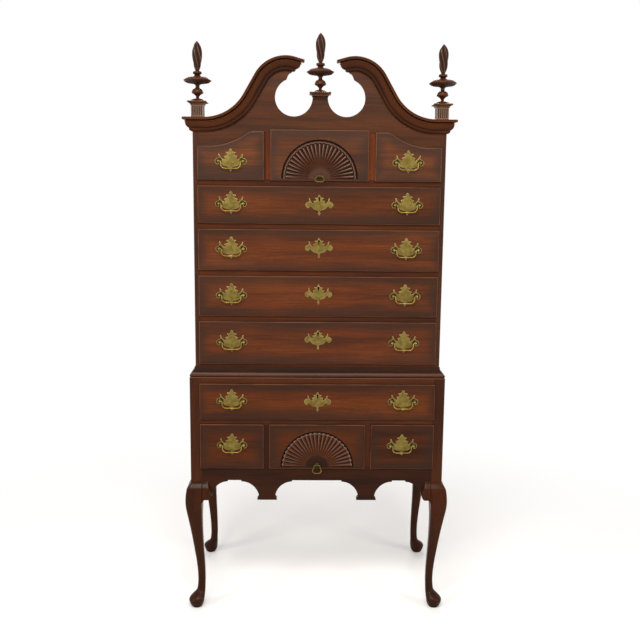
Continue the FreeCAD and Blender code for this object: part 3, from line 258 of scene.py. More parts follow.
def group(name, inputs, outputs):
    """An empty shader node group with named sockets: (name, kind, starting value)."""
    made = bpy.data.node_groups.new(name, "ShaderNodeTree")
    for label, kind, value in inputs:
        socket = made.interface.new_socket(label, in_out="INPUT", socket_type="NodeSocket" + kind)
        if value is not None:
            socket.default_value = value
    for label, kind in outputs:
        made.interface.new_socket(label, in_out="OUTPUT", socket_type="NodeSocket" + kind)
    return made, made.nodes.new("NodeGroupInput").outputs, made.nodes.new("NodeGroupOutput").inputs


grain_group, given, result = group(
    "mahogany_grain",
    [("Vector", "Vector", None), ("Waviness", "Float", 0.02)],
    [("Figure", "Float"), ("Ribbon", "Float"), ("Fibre", "Float"), ("Pores", "Float")])
drift = minus(grain_group, noise(grain_group, given["Vector"], 1.6, (1.0, 2.2, 2.2)), 0.5)
drift = times(grain_group, drift, given["Waviness"])
shifted = [(0, given["Vector"]), (1, vector_of(grain_group, 0.0, drift, drift))]
wavy = node(grain_group, "ShaderNodeVectorMath", shifted, operation="ADD").outputs[0]
pores = noise(grain_group, wavy, 120.0, (0.55, 9.0, 9.0), 1.0)
for label, value in (("Figure", noise(grain_group, wavy, 3.4, (0.55, 9.0, 9.0), 5.0)),
                     ("Ribbon", noise(grain_group, wavy, 1.5, (0.8, 3.2, 3.2), 3.0)),
                     ("Fibre", noise(grain_group, wavy, 26.0, (0.35, 14.0, 14.0), 3.0)),
                     ("Pores", remap(grain_group, pores, 0.60, 0.70))):
    grain_group.links.new(value, result[label])

age_group, given, result = group(
    "edge_age",
    [("Colour", "Color", (0.1, 0.05, 0.02, 1)), ("Vector", "Vector", None), ("Inset", "Float", 0.1),
     ("Grime", "Float", 0.5), ("Reach", "Float", 0.04), ("Wear", "Float", 0.5)],
    [("Colour", "Color")])
cloud = minus(age_group, noise(age_group, given["Vector"], 9.0, (0.7, 1.0, 1.0), 3.0), 0.5)
near = maths(age_group, "ADD", given["Inset"], times(age_group, cloud, 0.05))
near = maths(age_group, "DIVIDE", near, given["Reach"])
dark = times(age_group, remap(age_group, near, 1.0, 0.0), given["Grime"])
arris = remap(age_group, given["Inset"], 0.0042, 0.0018)
rubbed = remap(age_group, noise(age_group, given["Vector"], 22.0, (0.4, 1.0, 1.0)), 0.30, 0.62, 0.35, 1.0)
worn = times(age_group, times(age_group, arris, rubbed), given["Wear"])
grimy = blend(age_group, dark, given["Colour"], GRIME)
age_group.links.new(blend(age_group, worn, grimy, WORN), result["Colour"])

# A positive Hollow paints dirt and shade dark, and a negative one paints a highlight.
dirt_and_shade_group, given, result = group(
    "dirt_and_wax",
    [("Colour", "Color", (0.1, 0.05, 0.02, 1)), ("Hollow", "Float", 0.0), ("Dirt", "Float", 0.9)],
    [("Colour", "Color"), ("Dull", "Float")])
dull = times(dirt_and_shade_group, maths(dirt_and_shade_group, "MAXIMUM", given["Hollow"], 0.0), given["Dirt"])
dirty_and_shaded = blend(dirt_and_shade_group, dull, given["Colour"], DIRT_AND_SHADE)
sheened = blend(dirt_and_shade_group, times(dirt_and_shade_group, given["Hollow"], -1.0), dirty_and_shaded, PAINTED_SHEEN)
dirt_and_shade_group.links.new(sheened, result["Colour"])
dirt_and_shade_group.links.new(dull, result["Dull"])
print("shader groups:", [g.name for g in bpy.data.node_groups])

# %% [markdown]
# ## Mahogany
# Old polished mahogany is red-brown, with a fine straight figure, short dark pores and a satin
# polish. It is darker near edges, where hands and cloths don't reach, and lighter on rubbed arrises.
# Under mouldings and in hollows it is painted darker, as dirt and shade, and on crests it gets a
# painted highlight. One function makes the finish for a board, given which way its grain runs and
# how deep its tone is, so that neighbouring boards differ as real ones do.
#
# Two numbers on a mesh's corners steer the age and the painted light: "inset" is the distance from
# the board's edge, and "dish" is how dark a hollow is painted, as dirt and shade, or below zero how
# much painted highlight a crest gets. The dark is rough as well, so a hollow doesn't shine.

# %% Mahogany finish
GRAIN_TURN = {"x": (0, 0, 0), "y": (0, 0, math.pi / 2), "z": (0, math.pi / 2, 0)}
DEEP, MID, LIGHT = (0.046, 0.0148, 0.0058), (0.104, 0.0250, 0.0062), (0.160, 0.0430, 0.0100)


def tinted(colour, tone=1.0):
    return tuple(channel * tone for channel in colour) + (1.0,)


def grain_in(tree, place, grain, offset, waviness=0.02):
    """The grain group's outputs, for a board whose grain runs along an axis."""
    inputs = [("Vector", place), ("Location", offset), ("Rotation", GRAIN_TURN[grain])]
    laid = node(tree, "ShaderNodeMapping", inputs).outputs[0]
    inputs = [("Vector", laid), ("Waviness", waviness)]
    return node(tree, "ShaderNodeGroup", inputs, node_tree=grain_group).outputs


def surface(tree, base, rough, shine, metallic=0.0, relief=None, strength=0.25, deep=0.0004):
    """Ends a finish: the Principled BSDF, with its plain values on its own sockets, and its bump."""
    inputs = [("Base Color", base), ("Roughness", rough), ("Specular IOR Level", shine),
              ("Metallic", metallic)]
    if relief is not None:
        bump = node(tree, "ShaderNodeBump", [("Strength", strength), ("Distance", deep), ("Height", relief)])
        inputs.append(("Normal", bump.outputs[0]))
    shader = node(tree, "ShaderNodeBsdfPrincipled", inputs)
    node(tree, "ShaderNodeOutputMaterial", [(0, shader.outputs[0])])


def mahogany(name, grain="x", tone=1.0, seed=0.0, warm=1.0, grime=0.0, wear=0.0, reach=0.04,
             gloss=0.40, source="Object", dirt=0.0, shine=0.10, plain=0.0):
    """A mahogany finish. Plain takes away figure, and warm adds yellow to the red."""
    made, tree = simple_material(name)
    where = place_in(tree, source)
    figure = grain_in(tree, where, grain, (seed * 1.37, seed * 0.73, seed * 0.41))
    mid = (MID[0], MID[1] * warm, MID[2] * warm)
    dark, light = (
        tinted([a + (b - a) * plain for a, b in zip((red, green * warm, blue * warm), mid)], tone)
        for red, green, blue in (DEEP, LIGHT))
    base = blend(tree, remap(tree, figure["Figure"], 0.30, 0.66), dark, tinted(mid, tone))
    base = blend(tree, times(tree, remap(tree, figure["Ribbon"], 0.44, 0.72), 0.62), base, light)
    streak = remap(tree, figure["Fibre"], 0.25, 0.75, 0.72, 1.18)
    base = blend(tree, 1.0, base, vector_of(tree, streak, streak, streak), "MULTIPLY")
    base = blend(tree, times(tree, figure["Pores"], 0.5), base, tinted((0.02, 0.009, 0.005)))
    if grime or wear:
        aged = [("Colour", base), ("Vector", where), ("Inset", attribute(tree, "inset")),
                ("Grime", grime), ("Reach", reach), ("Wear", wear)]
        base = node(tree, "ShaderNodeGroup", aged, node_tree=age_group).outputs["Colour"]
    rough = remap(tree, figure["Ribbon"], 0.3, 0.7, gloss - 0.05, gloss + 0.07)
    # The dish paints dirt and shade dark in hollows and a highlight on crests, and the dark is rough too.
    if dirt:
        shade_and_sheen = [("Colour", base), ("Hollow", attribute(tree, "dish")), ("Dirt", dirt)]
        shade_and_sheen = node(tree, "ShaderNodeGroup", shade_and_sheen, node_tree=dirt_and_shade_group).outputs
        base = shade_and_sheen["Colour"]
        rough = maths(tree, "MAXIMUM", rough, shade_and_sheen["Dull"])
    relief = minus(tree, times(tree, figure["Fibre"], 0.25), times(tree, figure["Pores"], 0.6))
    surface(tree, base, rough, shine, relief=relief)
    return made


wood_rail = mahogany("mahogany_rails", "x", tone=0.68, seed=3.1)
wood_divider = mahogany("mahogany_upper_dividers", "z", tone=1.40, seed=9.4, warm=0.88, shine=0.06)
wood_low_divider = mahogany("mahogany_lower_dividers", "z", tone=0.58, seed=6.6)
wood_stile = mahogany("mahogany_stiles", "z", tone=0.50, seed=5.7, warm=1.1, shine=0.16, plain=0.3)
wood_board = mahogany("mahogany_pediment", "x", tone=0.58, seed=8.3, warm=1.12, shine=0.16)
wood_run = mahogany("mahogany_mouldings", "x", tone=0.50, seed=2.2, wear=0.25, source="UV", gloss=0.30,
                    dirt=0.85, shine=0.09)
wood_leg = mahogany("mahogany_legs", "z", tone=0.42, seed=11.9, gloss=0.24, shine=0.08, plain=0.4, dirt=0.8)
wood_post = mahogany("mahogany_leg_posts", "z", tone=0.54, seed=12.6, plain=0.2)
wood_apron = mahogany("mahogany_apron", "x", tone=0.27, seed=14.2)
wood_lower = mahogany("mahogany_lower_case", "z", tone=0.60, seed=17.5)
# The finials and plinths are lighter than the mouldings, partly a painted highlight for the light they catch.
wood_carved = mahogany("mahogany_carving", "z", tone=0.66, seed=21.0, gloss=0.26, warm=1.1, dirt=0.85,
                       shine=0.13, plain=0.4)
wood_plinth = mahogany("mahogany_plinths", "z", tone=0.80, seed=23.0, gloss=0.34, warm=1.35, dirt=0.80,
                       shine=0.24, plain=0.4)
print("mahogany finishes:", sum(m.name.startswith("mahogany") for m in bpy.data.materials))

# %% [markdown]
# ## Inside wood, brass and steel
# Drawer linings and back boards are a plain pale wood that has gone tan with age. The brasses are
# cast and lacquered: olive gold, satin, brown in the hollows and brighter where fingers rub. A brass
# plate's mesh carries a number at each corner, its distance from the plate's edge, and the engraved
# border lines are drawn from that, so they follow the outline exactly.

# %% Inside wood, brass, steel
# Each engraved line: how far in it lies, half its width outside and inside its slope, and its depth.
LINES = ((2.6, 0.65, 0.25, 1.0), (6.2, 0.5, 0.2, 0.7))
TARNISH, BURNISH, SIDE_DIRT_AND_SHADE = (0.030, 0.019, 0.008, 1), (0.40, 0.33, 0.15, 1), (0.035, 0.022, 0.008, 1)


def lining(name, grain, seed, tone=1.0, first=0.0, pitch=0.0):
    """Pale dry wood. With a pitch, each board of that height above first shows grain of its own."""
    made, tree = simple_material(name)
    where = place_in(tree)
    if pitch:
        parts = node(tree, "ShaderNodeSeparateXYZ", [(0, where)]).outputs
        number = maths(tree, "FLOOR", maths(tree, "DIVIDE", minus(tree, parts[2], first), pitch))
        along = maths(tree, "ADD", times(tree, parts[0], 0.6), times(tree, number, 3.7))
        where = vector_of(tree, along, parts[1], times(tree, parts[2], 2.2))
    figure = grain_in(tree, where, grain, (seed, seed * 0.6, seed * 0.3), 0.05)
    base = blend(tree, remap(tree, figure["Figure"], 0.32, 0.68),
                 tinted((0.20, 0.105, 0.045), tone), tinted((0.36, 0.215, 0.105), tone))
    base = blend(tree, times(tree, remap(tree, figure["Ribbon"], 0.5, 0.8), 0.5),
                 base, tinted((0.27, 0.155, 0.072), tone))
    base = blend(tree, times(tree, figure["Pores"], 0.25), base, tinted((0.12, 0.06, 0.03), tone))
    surface(tree, base, 0.68, 0.3, relief=figure["Fibre"], strength=0.3)
    return made


def brass_finish(name, engraved, painted_light_level):
    made, tree = simple_material(name)
    where = place_in(tree)
    stain = remap(tree, noise(tree, where, 55.0, detail=4.0), 0.35, 0.65)
    base = blend(tree, stain, tinted((0.150, 0.102, 0.018), painted_light_level), tinted((0.235, 0.172, 0.038), painted_light_level))
    fine = noise(tree, where, 900.0, detail=2.0)
    height = times(tree, fine, 0.12)
    if engraved:
        edge, dish = attribute(tree, "edge"), attribute(tree, "dish")

        def near(place, outer, inner):
            return remap(tree, maths(tree, "ABSOLUTE", minus(tree, edge, place)), outer, inner)

        cut = maths(tree, "MAXIMUM", *(times(tree, near(*line[:3]), line[3]) for line in LINES))
        ring = [("Vector", where), ("Scale", 230.0)]
        ring = node(tree, "ShaderNodeTexVoronoi", ring, feature="DISTANCE_TO_EDGE").outputs[0]
        field = times(tree, remap(tree, ring, 0.10, 0.02), remap(tree, edge, 6.8, 8.5))
        cut = maths(tree, "MAXIMUM", cut, times(tree, field, 0.5))
        base = blend(tree, maths(tree, "MAXIMUM", times(tree, cut, 0.62), dish), base, TARNISH)
        base = blend(tree, times(tree, near(1.5, 0.9, 0.2), 0.40), base, BURNISH)
        # A plate's outermost part and its sides are painted dark, as dirt and the shade round the plate.
        base = blend(tree, times(tree, remap(tree, edge, 0.7, 0.2), 0.75), base, SIDE_DIRT_AND_SHADE)
        height = minus(tree, height, cut)
    surface(tree, base, remap(tree, fine, 0.3, 0.7, 0.36, 0.48), 0.5, 0.82, height, 0.6, 0.00025)
    return made


pine_x = lining("lining_wood_lengthways", "x", 1.3)
pine_y = lining("lining_wood_front_to_back", "y", 4.4)
pine_back = lining("lining_wood_back_boards", "x", 7.7, 0.62, first=0.925, pitch=0.23975)
# The plates are the plain brass. The cast brass of bails and posts is a lighter copy that paints their
# highlights, and the small pulls and their roses are darker copies that paint their shade.
brass_plate_finish = brass_finish("brass_engraved", True, 1.0)
brass_round = brass_finish("brass_cast", False, 1.25)
brass_small = brass_finish("brass_small_pulls", False, 0.75)
brass_rose = brass_finish("brass_small_roses", False, 0.28)
steel, tree = simple_material("screw_steel")
rust = remap(tree, noise(tree, place_in(tree), 400.0, detail=4.0), 0.45, 0.7)
surface(tree, blend(tree, rust, (0.24, 0.23, 0.22, 1), (0.14, 0.07, 0.035, 1)), 0.5, 0.5, 0.8)
print("finishes:", len(bpy.data.materials))

# %% [markdown]
# ## Building blocks
# Most pieces come from four moves that a joiner or a turner would know: saw a board to an outline,
# run a moulding along a path, turn a profile on a lathe, and fill a flat panel. `Shape` gathers the
# corners and faces in millimetres. `piece` makes the object, rounds its arrises with a Bevel, hangs
# it from an empty for the body it rides on, and hides the CAD nodes it stands for.

# %% Shape and piece
SAME_PLACE = 2e-6  # metres; corners nearer than this are one corner


class Shape:
    """Corners, faces, UVs and marks. The marks are numbers at the corners that finishes read."""

    def __init__(self):
        self.verts, self.faces, self.uvs, self.slots = [], [], [], []
        self.marks = {"inset": [], "edge": [], "dish": []}

    def add(self, verts, faces, uvs=None, slot=0, inset=None, edge=None, dish=None):
        start = len(self.verts)
        count = len(verts)
        self.verts += [tuple(map(float, v)) for v in verts]
        self.faces += [[start + corner for corner in face] for face in faces]
        self.slots += [slot] * len(faces)
        self.uvs += list(uvs) if uvs is not None else [(0.0, 0.0)] * count
        for label, given, plain in (("inset", inset, 1.0), ("edge", edge, 99.0), ("dish", dish, 0.0)):
            self.marks[label] += list(given) if given is not None else [plain] * count
        return self

    def mirrored(self):
        self.verts = [(-x, y, z) for x, y, z in self.verts]
        return self


def piece(name, shape, finishes, body="case", nodes=(), sharp=32.0, bevel=0.0, marks=(),
          weld=True):
    """Makes a shape's mesh, with faces outwards, and dresses it."""
    bm = bmesh.new()
    uv_layer = bm.loops.layers.uv.new("run")
    layers = {label: bm.verts.layers.float.new(label) for label in marks}
    made = []
    for index, place in enumerate(shape.verts):
        vert = bm.verts.new([MM * along for along in place])
        for label, layer in layers.items():
            vert[layer] = shape.marks[label][index]
        made.append(vert)
    for corners, slot_index in zip(shape.faces, shape.slots):
        if len(set(corners)) < 3:
            continue
        try:
            face = bm.faces.new([made[corner] for corner in corners])
        except ValueError:
            continue
        face.material_index = slot_index
        for loop, corner in zip(face.loops, corners):
            loop[uv_layer].uv = shape.uvs[corner]
    if weld:
        bmesh.ops.remove_doubles(bm, verts=bm.verts, dist=SAME_PLACE)
    bmesh.ops.recalc_face_normals(bm, faces=bm.faces)
    return dressed(name, mesh_of(name, bm), finishes, body, nodes, sharp, bevel)


def mesh_of(name, bm):
    mesh = bpy.data.meshes.new(name)
    bm.to_mesh(mesh)
    bm.free()
    return mesh


def dressed(name, mesh, finishes, body, nodes, sharp=32.0, bevel=0.0):
    """Finishes a mesh as a piece: materials, smooth shading, rounded arrises, and its place in the frame."""
    for finish in finishes:
        mesh.materials.append(finish)
    mesh.shade_smooth()
    mesh.set_sharp_from_angle(angle=math.radians(sharp))
    made = object_of(name, mesh)
    if bevel:
        rounding = made.modifiers.new("arris", "BEVEL")
        rounding.width = bevel * MM
        rounding.segments = 2
        rounding.limit_method = "ANGLE"
        rounding.angle_limit = math.radians(40)
        rounding.harden_normals = True
    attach(made, body)
    if nodes:
        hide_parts(*nodes)
    return made


def object_of(name, mesh):
    made = bpy.data.objects.new(name, mesh)
    scene.collection.objects.link(made)
    return made


print("pieces can be made")

# %% [markdown]
# ## Outlines and boards
# An outline is a list of (u, v, swell) corners. The swell bends the stretch after its corner into
# an arc: it is the arc's height over its chord, so 0.5 is a half circle. A board is an outline with
# a thickness, and a skin is a surface through rows of points, such as a turning or a moulding.

# %% Outlines, boards and skins


def smooth(value, low, high):
    """0 below low, 1 above high, and an even S between, for one number or many."""
    t = np.clip((value - low) / (high - low), 0.0, 1.0)
    return t * t * (3.0 - 2.0 * t)


def eased(t, start, end, slope_start, slope_end):
    """A smooth curve from start to end that leaves and arrives with the given slopes."""
    return ((2 * t ** 3 - 3 * t ** 2 + 1) * start + (t ** 3 - 2 * t ** 2 + t) * slope_start
            + (3 * t ** 2 - 2 * t ** 3) * end + (t ** 3 - t ** 2) * slope_end)


def polar(centre, radius, degrees):
    angle = math.radians(degrees)
    return centre[0] + radius * math.cos(angle), centre[1] + radius * math.sin(angle)


def swell_of(angle):
    """The swell of an arc that turns by an angle."""
    return math.tan(angle / 4.0) / 2.0


def traced(points, closed=True, step=5.0):
    """Points along an outline of (u, v, swell) corners, an arc having one each step degrees."""
    path = []
    for (u0, v0, swell), (u1, v1, _) in zip(points, points[1:] + (points[:1] if closed else [])):
        path.append((u0, v0))
        if swell:
            bend = 4.0 * math.atan(2.0 * swell)
            chord = math.hypot(u1 - u0, v1 - v0)
            radius = chord / (2.0 * math.sin(bend / 2.0))
            left = (-(v1 - v0) / chord, (u1 - u0) / chord)
            rise = swell * chord - radius
            cu, cv = (u0 + u1) / 2.0 + left[0] * rise, (v0 + v1) / 2.0 + left[1] * rise
            start = math.atan2(v0 - cv, u0 - cu)
            count = max(2, math.ceil(abs(math.degrees(bend)) / step))
            for index in range(1, count):
                angle = start - bend * index / count
                path.append((cu + abs(radius) * math.cos(angle), cv + abs(radius) * math.sin(angle)))
    if not closed:
        path.append(points[-1][:2])
    return path


def with_left_half(half):
    """Closed outline from its right-hand half: the mirrored points in reverse order."""
    left = [(-x, z, half[i - 1][2] if i else 0) for i, (x, z, _) in reversed(list(enumerate(half)))]
    return list(half) + left


def board(shape, path, axis, low, high, slot=0):
    """A board sawn to an outline; axis is the way its thickness lies."""
    put = {"x": lambda u, v, t: (t, u, v),
           "y": lambda u, v, t: (u, t, v),
           "z": lambda u, v, t: (u, v, t)}[axis]
    count = len(path)
    verts = [put(u, v, low) for u, v in path] + [put(u, v, high) for u, v in path]
    faces = [list(range(count))[::-1], list(range(count, 2 * count))]
    faces += [[i, (i + 1) % count, count + (i + 1) % count, count + i] for i in range(count)]
    return shape.add(verts, faces, slot=slot)


def slab(shape, x0, x1, y0, y1, z0, z1, slot=0):
    return board(shape, [(x0, y0), (x1, y0), (x1, y1), (x0, y1)], "z", z0, z1, slot)


def skin(shape, rows, uvs=None, closed=True, caps=(False, False), slot=0, **marks):
    """Joins rows of points into a surface; closed joins each row's last point to its first."""
    width = len(rows[0])
    faces = []
    for row in range(len(rows) - 1):
        for i in range(width if closed else width - 1):
            j = (i + 1) % width
            faces.append([row * width + i, row * width + j, (row + 1) * width + j, (row + 1) * width + i])
    if caps[0]:
        faces.append(list(range(width))[::-1])
    if caps[1]:
        faces.append([(len(rows) - 1) * width + i for i in range(width)])
    return shape.add([v for row in rows for v in row], faces, uvs, slot, **marks)


def turning(shape, profile, centre, axis="z", sides=40, slot=0, carve=None, dirt=None):
    """A turned piece: (radius, along) pairs round an axis; carve gives a new radius and a mark, painted shade
    and dirt above 0 and a painted highlight below.
    """
    cx, cy, cz = centre
    rows, dish = [], []
    for index, (radius, along) in enumerate(profile):
        row = []
        for i in range(sides):
            angle = 2 * math.pi * i / sides
            r, cut = carve(radius, along, angle) if carve else (radius, 0.0)
            dish.append(cut if cut < 0 else max(cut, dirt[index] if dirt is not None else 0.0))
            a, b = r * math.cos(angle), r * math.sin(angle)
            row.append({"z": (cx + a, cy + b, cz + along), "y": (cx + a, cy + along, cz + b),
                        "x": (cx + along, cy + a, cz + b)}[axis])
        rows.append(row)
    return skin(shape, rows, caps=(True, True), slot=slot, dish=dish)


print("boards, skins and turnings ready")

# %% [markdown]
# ## Filled panels
# A flat panel with curved edges or holes is filled with even triangles, because its corners carry
# marks: how far each lies from the edge, or how deep it lies in a hollow of a moulding.

# %% Filled panels


def inside(points, loop):
    """Which of the points lie inside a closed loop, by counting crossings."""
    x, y = points[:, 0], points[:, 1]
    hit = np.zeros(len(points), bool)
    for (x0, y0), (x1, y1) in zip(loop, loop[1:] + loop[:1]):
        crosses = (y0 > y) != (y1 > y)
        with np.errstate(divide="ignore", invalid="ignore"):
            hit ^= crosses & (x < (x1 - x0) * (y - y0) / (y1 - y0) + x0)
    return hit


def distance(points, loops):
    """Distance from each point to the nearest edge of the loops."""
    best = np.full(len(points), 1e9)
    for loop in loops:
        for a, b in zip(loop, loop[1:] + loop[:1]):
            a, b = np.array(a), np.array(b)
            along = np.clip(((points - a) @ (b - a)) / max(float((b - a) @ (b - a)), 1e-12), 0, 1)
            best = np.minimum(best, np.linalg.norm(points - (a + along[:, None] * (b - a)), axis=1))
    return best


def in_panel(points, loops):
    """Which points lie inside the first loop and outside the others, its holes."""
    good = inside(points, loops[0])
    for hole in loops[1:]:
        good &= ~inside(points, hole)
    return good


def filled(loop, holes=(), spacing=12.0, keep=0.45):
    """Triangles that fill a loop and leave its holes, with a grid of points inside: (points, faces)."""
    loops = [list(loop), *[list(hole) for hole in holes]]
    corners = np.array(loop)
    low, high = corners.min(0), corners.max(0)
    xs, zs = (np.arange(low[i] + spacing / 2, high[i], spacing) for i in (0, 1))
    grid = np.array([(x, z) for x in xs for z in zs]).reshape(-1, 2)
    if len(grid):
        grid = grid[in_panel(grid, loops) & (distance(grid, loops) > spacing * keep)]
    points, edges = [], []
    for one in loops:
        start = len(points)
        points += [Vector(p) for p in one]
        edges += [(start + i, start + (i + 1) % len(one)) for i in range(len(one))]
    points += [Vector(p) for p in grid]
    found, _, faces, *_ = delaunay_2d_cdt(points, edges, [], 0, 1e-7)
    found = np.array([tuple(p) for p in found])
    middles = np.array([found[list(face)].mean(0) for face in faces])
    return found, [list(face) for face, good in zip(faces, in_panel(middles, loops)) if good]


def dense(path, step=2.0, closed=True):
    """The same path with more points, so that a mark set at one corner stays near it."""
    made = []
    ends = path[1:] + path[:1] if closed else path[1:]
    for (u0, v0), (u1, v1) in zip(path, ends):
        length = math.hypot(u1 - u0, v1 - v0)
        shares = [0.0]
        if length > 2.0:
            shares += [0.6 / length, *np.arange(1, int(length / step)) * step / length, 1 - 0.6 / length]
        made += [(u0 + (u1 - u0) * t, v0 + (v1 - v0) * t) for t in shares]
    return made if closed else made + [path[-1]]


def hollows(loop):
    """How much dirt and painted shade each point of a closed section holds, and how far in from an arris it
    counts.

    Each point looks round itself, at three distances. The more of the wood it sees, the deeper in
    a hollow it lies, and where it sees little, it is an arris that gets rubbed.
    """
    angles = np.linspace(0, 2 * math.pi, 24, endpoint=False)
    ring = np.array([(r * math.cos(a), r * math.sin(a)) for r in (1.5, 3.0, 6.0) for a in angles])
    samples = (np.array(loop)[:, None, :] + ring[None]).reshape(-1, 2)
    share = inside(samples, list(loop)).reshape(len(loop), -1).mean(1)
    return smooth(share, 0.52, 0.72), np.where(share < 0.40, 0.002, 1.0)


print("panels and marks ready")

# %% [markdown]
# ## The case's planes
# A few planes place every board: the fronts of the two cases, their backs and their sides. They are
# the CAD model's own values; the upper case's side and top are checked here against its box.

# %% Planes
lower_half, upper_half = 482.5, 461.5
lower_open, upper_open = 440.5, 441.5
lower_front, upper_front, back = -261.0, -240.0, 279.0
lower_top, upper_top = 925.0, 1884.0
knee_z, apron_flat, post_size = 520.0, 524.0, 42.0
low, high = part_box("upper_case_sides")
assert abs(low.x + upper_half * MM) < 1e-4 and abs(high.z - upper_top * MM) < 1e-4
print("upper case %.0f x %.0f mm" % (2 * upper_half, back - upper_front))

# %% [markdown]
# ## Plain boards
# Rails, runners, sides and boards keep the CAD model's shape. Its mesh is loose triangles, one
# closed solid after another. In a copy, each solid's corners are merged on their own, so that two
# boards that touch stay two boards. Then flat faces are made whole again, and a Bevel takes off the
# sharp arrises, as a plane would. Uprights have their grain standing, so they get a second finish.

# %% Plain boards


def solids_of(bm):
    """The corners of each closed solid among loose triangles, which come solid by solid."""
    waiting, group, groups = set(), [], []
    for face in bm.faces:
        keys = [tuple(v.co) for v in face.verts]
        for a, b in zip(keys, keys[1:] + keys[:1]):
            waiting ^= {frozenset((a, b))}
        group += face.verts
        if not waiting:
            groups.append(group)
            group = []
    return groups + ([group] if group else [])


def planed(node_name, finishes, bevel=0.8):
    """A merged copy of a CAD board. Where two finishes are given, the second goes on the uprights."""
    bm = bmesh.new()
    bm.from_mesh(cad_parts[node_name].data)
    for corners in solids_of(bm):
        bmesh.ops.remove_doubles(bm, verts=list(dict.fromkeys(corners)), dist=SAME_PLACE)
    bmesh.ops.dissolve_limit(bm, angle_limit=math.radians(0.5), verts=bm.verts, edges=bm.edges)
    for face in bm.faces:
        wide, high = (max(v.co[i] for v in face.verts) - min(v.co[i] for v in face.verts) for i in (0, 2))
        face.material_index = int(len(finishes) > 1 and high > wide)
    name = node_name + "_planed"
    dressed(name, mesh_of(name, bm), finishes, "case", [node_name], bevel=bevel)


planed("lower_case_rails", [wood_rail, wood_low_divider], 0.9)
planed("upper_case_rails", [wood_rail, wood_divider], 0.9)
planed("lower_case_sides", [wood_lower])
planed("upper_case_sides", [wood_stile], 1.0)
planed("upper_case_boards", [pine_x], 0.6)
planed("drawer_runners", [pine_y])
planed("lower_case_back", [pine_back])

# %% [markdown]
# ## Back boards and their screws
# The back is four wide boards in a row, each held by two screws at each end. Things that repeat are
# made by Geometry Nodes: one tree lays boards along a line, another puts a screw on every point of
# a mesh and turns each slot a different way, from a fixed seed.

# %% Geometry Nodes helpers
ROW_INPUTS = [("Count", "Int", 4), ("Start", "Vector", (0, 0, 0)), ("Step", "Vector", (0, 0, 0.24))]


def geometry_tree(name, inputs):
    """A Geometry Nodes tree with a Geometry input and output and named inputs: (name, kind, value)."""
    tree = bpy.data.node_groups.new(name, "GeometryNodeTree")
    tree.interface.new_socket("Geometry", in_out="INPUT", socket_type="NodeSocketGeometry")
    for label, kind, value in [*inputs, ("Material", "Material", None)]:
        socket = tree.interface.new_socket(label, in_out="INPUT", socket_type="NodeSocket" + kind)
        if value is not None:
            socket.default_value = value
    tree.interface.new_socket("Geometry", in_out="OUTPUT", socket_type="NodeSocketGeometry")
    return tree, tree.nodes.new("NodeGroupInput").outputs


def object_in(tree, socket):
    return node(tree, "GeometryNodeObjectInfo", [("Object", socket)]).outputs["Geometry"]


def row_points(tree, given):
    """Count points in a row, from Start, each a Step from the one before."""
    inputs = [("Count", given["Count"]), ("Start Location", given["Start"]), ("Offset", given["Step"])]
    return node(tree, "GeometryNodeMeshLine", inputs).outputs[0]


def set_out(tree, given, points, instance, turn=None, weld=None):
    """Ends a tree: a copy on each point, turned about Y, made real, welded and given its material."""
    inputs = [("Points", points), ("Instance", instance)]
    if turn:
        turn = node(tree, "FunctionNodeEulerToRotation", [(0, vector_of(tree, 0.0, turn))])
        inputs.append(("Rotation", turn.outputs[0]))
    copies = node(tree, "GeometryNodeInstanceOnPoints", inputs).outputs[0]
    real = node(tree, "GeometryNodeRealizeInstances", [(0, copies)]).outputs[0]
    if weld:
        real = node(tree, "GeometryNodeMergeByDistance", [("Geometry", real), ("Distance", weld)]).outputs[0]
    real = node(tree, "GeometryNodeSetMaterial", [("Geometry", real), ("Material", given["Material"])])
    node(tree, "NodeGroupOutput", [("Geometry", real.outputs[0])])


def grown(name, tree, points, **values):
    """Runs a tree on a mesh of points and returns the result as a plain mesh."""
    seed_mesh = bpy.data.meshes.new(name + "_points")
    seed_mesh.from_pydata([[MM * along for along in p] for p in points], [], [])
    holder = object_of(name + "_holder", seed_mesh)
    modifier = holder.modifiers.new("grow", "NODES")
    modifier.node_group = tree
    for item in tree.interface.items_tree:
        if item.item_type == "SOCKET" and item.in_out == "INPUT" and item.name in values:
            modifier[item.identifier] = values[item.name]
    bpy.context.view_layer.update()
    evaluated = holder.evaluated_get(bpy.context.evaluated_depsgraph_get())
    mesh = bpy.data.meshes.new_from_object(evaluated)
    mesh.name = name
    bpy.data.objects.remove(holder)
    mesh.materials.clear()
    return mesh


board_tree, given = geometry_tree("row_of_boards", [("Size", "Vector", (0.9, 0.012, 0.24)), *ROW_INPUTS])
plank = node(board_tree, "GeometryNodeMeshCube", [("Size", given["Size"])]).outputs[0]
set_out(board_tree, given, row_points(board_tree, given), plank)

screw_tree, given = geometry_tree("screw_on_each_point", [("Screw", "Object", None), ("Seed", "Int", 7)])
spin = node(screw_tree, "FunctionNodeRandomValue", [(2, -1.5), (3, 1.5), ("Seed", given["Seed"])]).outputs[1]
set_out(screw_tree, given, given["Geometry"], object_in(screw_tree, given["Screw"]), spin)
print("trees:", board_tree.name, screw_tree.name)

# %% Back boards and screws
BACK_THICK, BACK_GAP, BACK_WIDE, SCREW_X = 12.0, 1.0, 903.0, 446.5
pitch = (upper_top - lower_top) / 4.0
start = Vector((0.0, back - BACK_THICK / 2, lower_top + (pitch - BACK_GAP) / 2)) * MM
size = Vector((BACK_WIDE, BACK_THICK, pitch - BACK_GAP)) * MM
boards = grown("back_boards", board_tree, [(0, 0, 0)], Size=size, Count=4, Start=start,
               Step=Vector((0, 0, pitch)) * MM, Material=pine_back)
dressed("upper_case_back_boards", boards, [pine_back], "case", ["upper_case_back"], bevel=1.2)

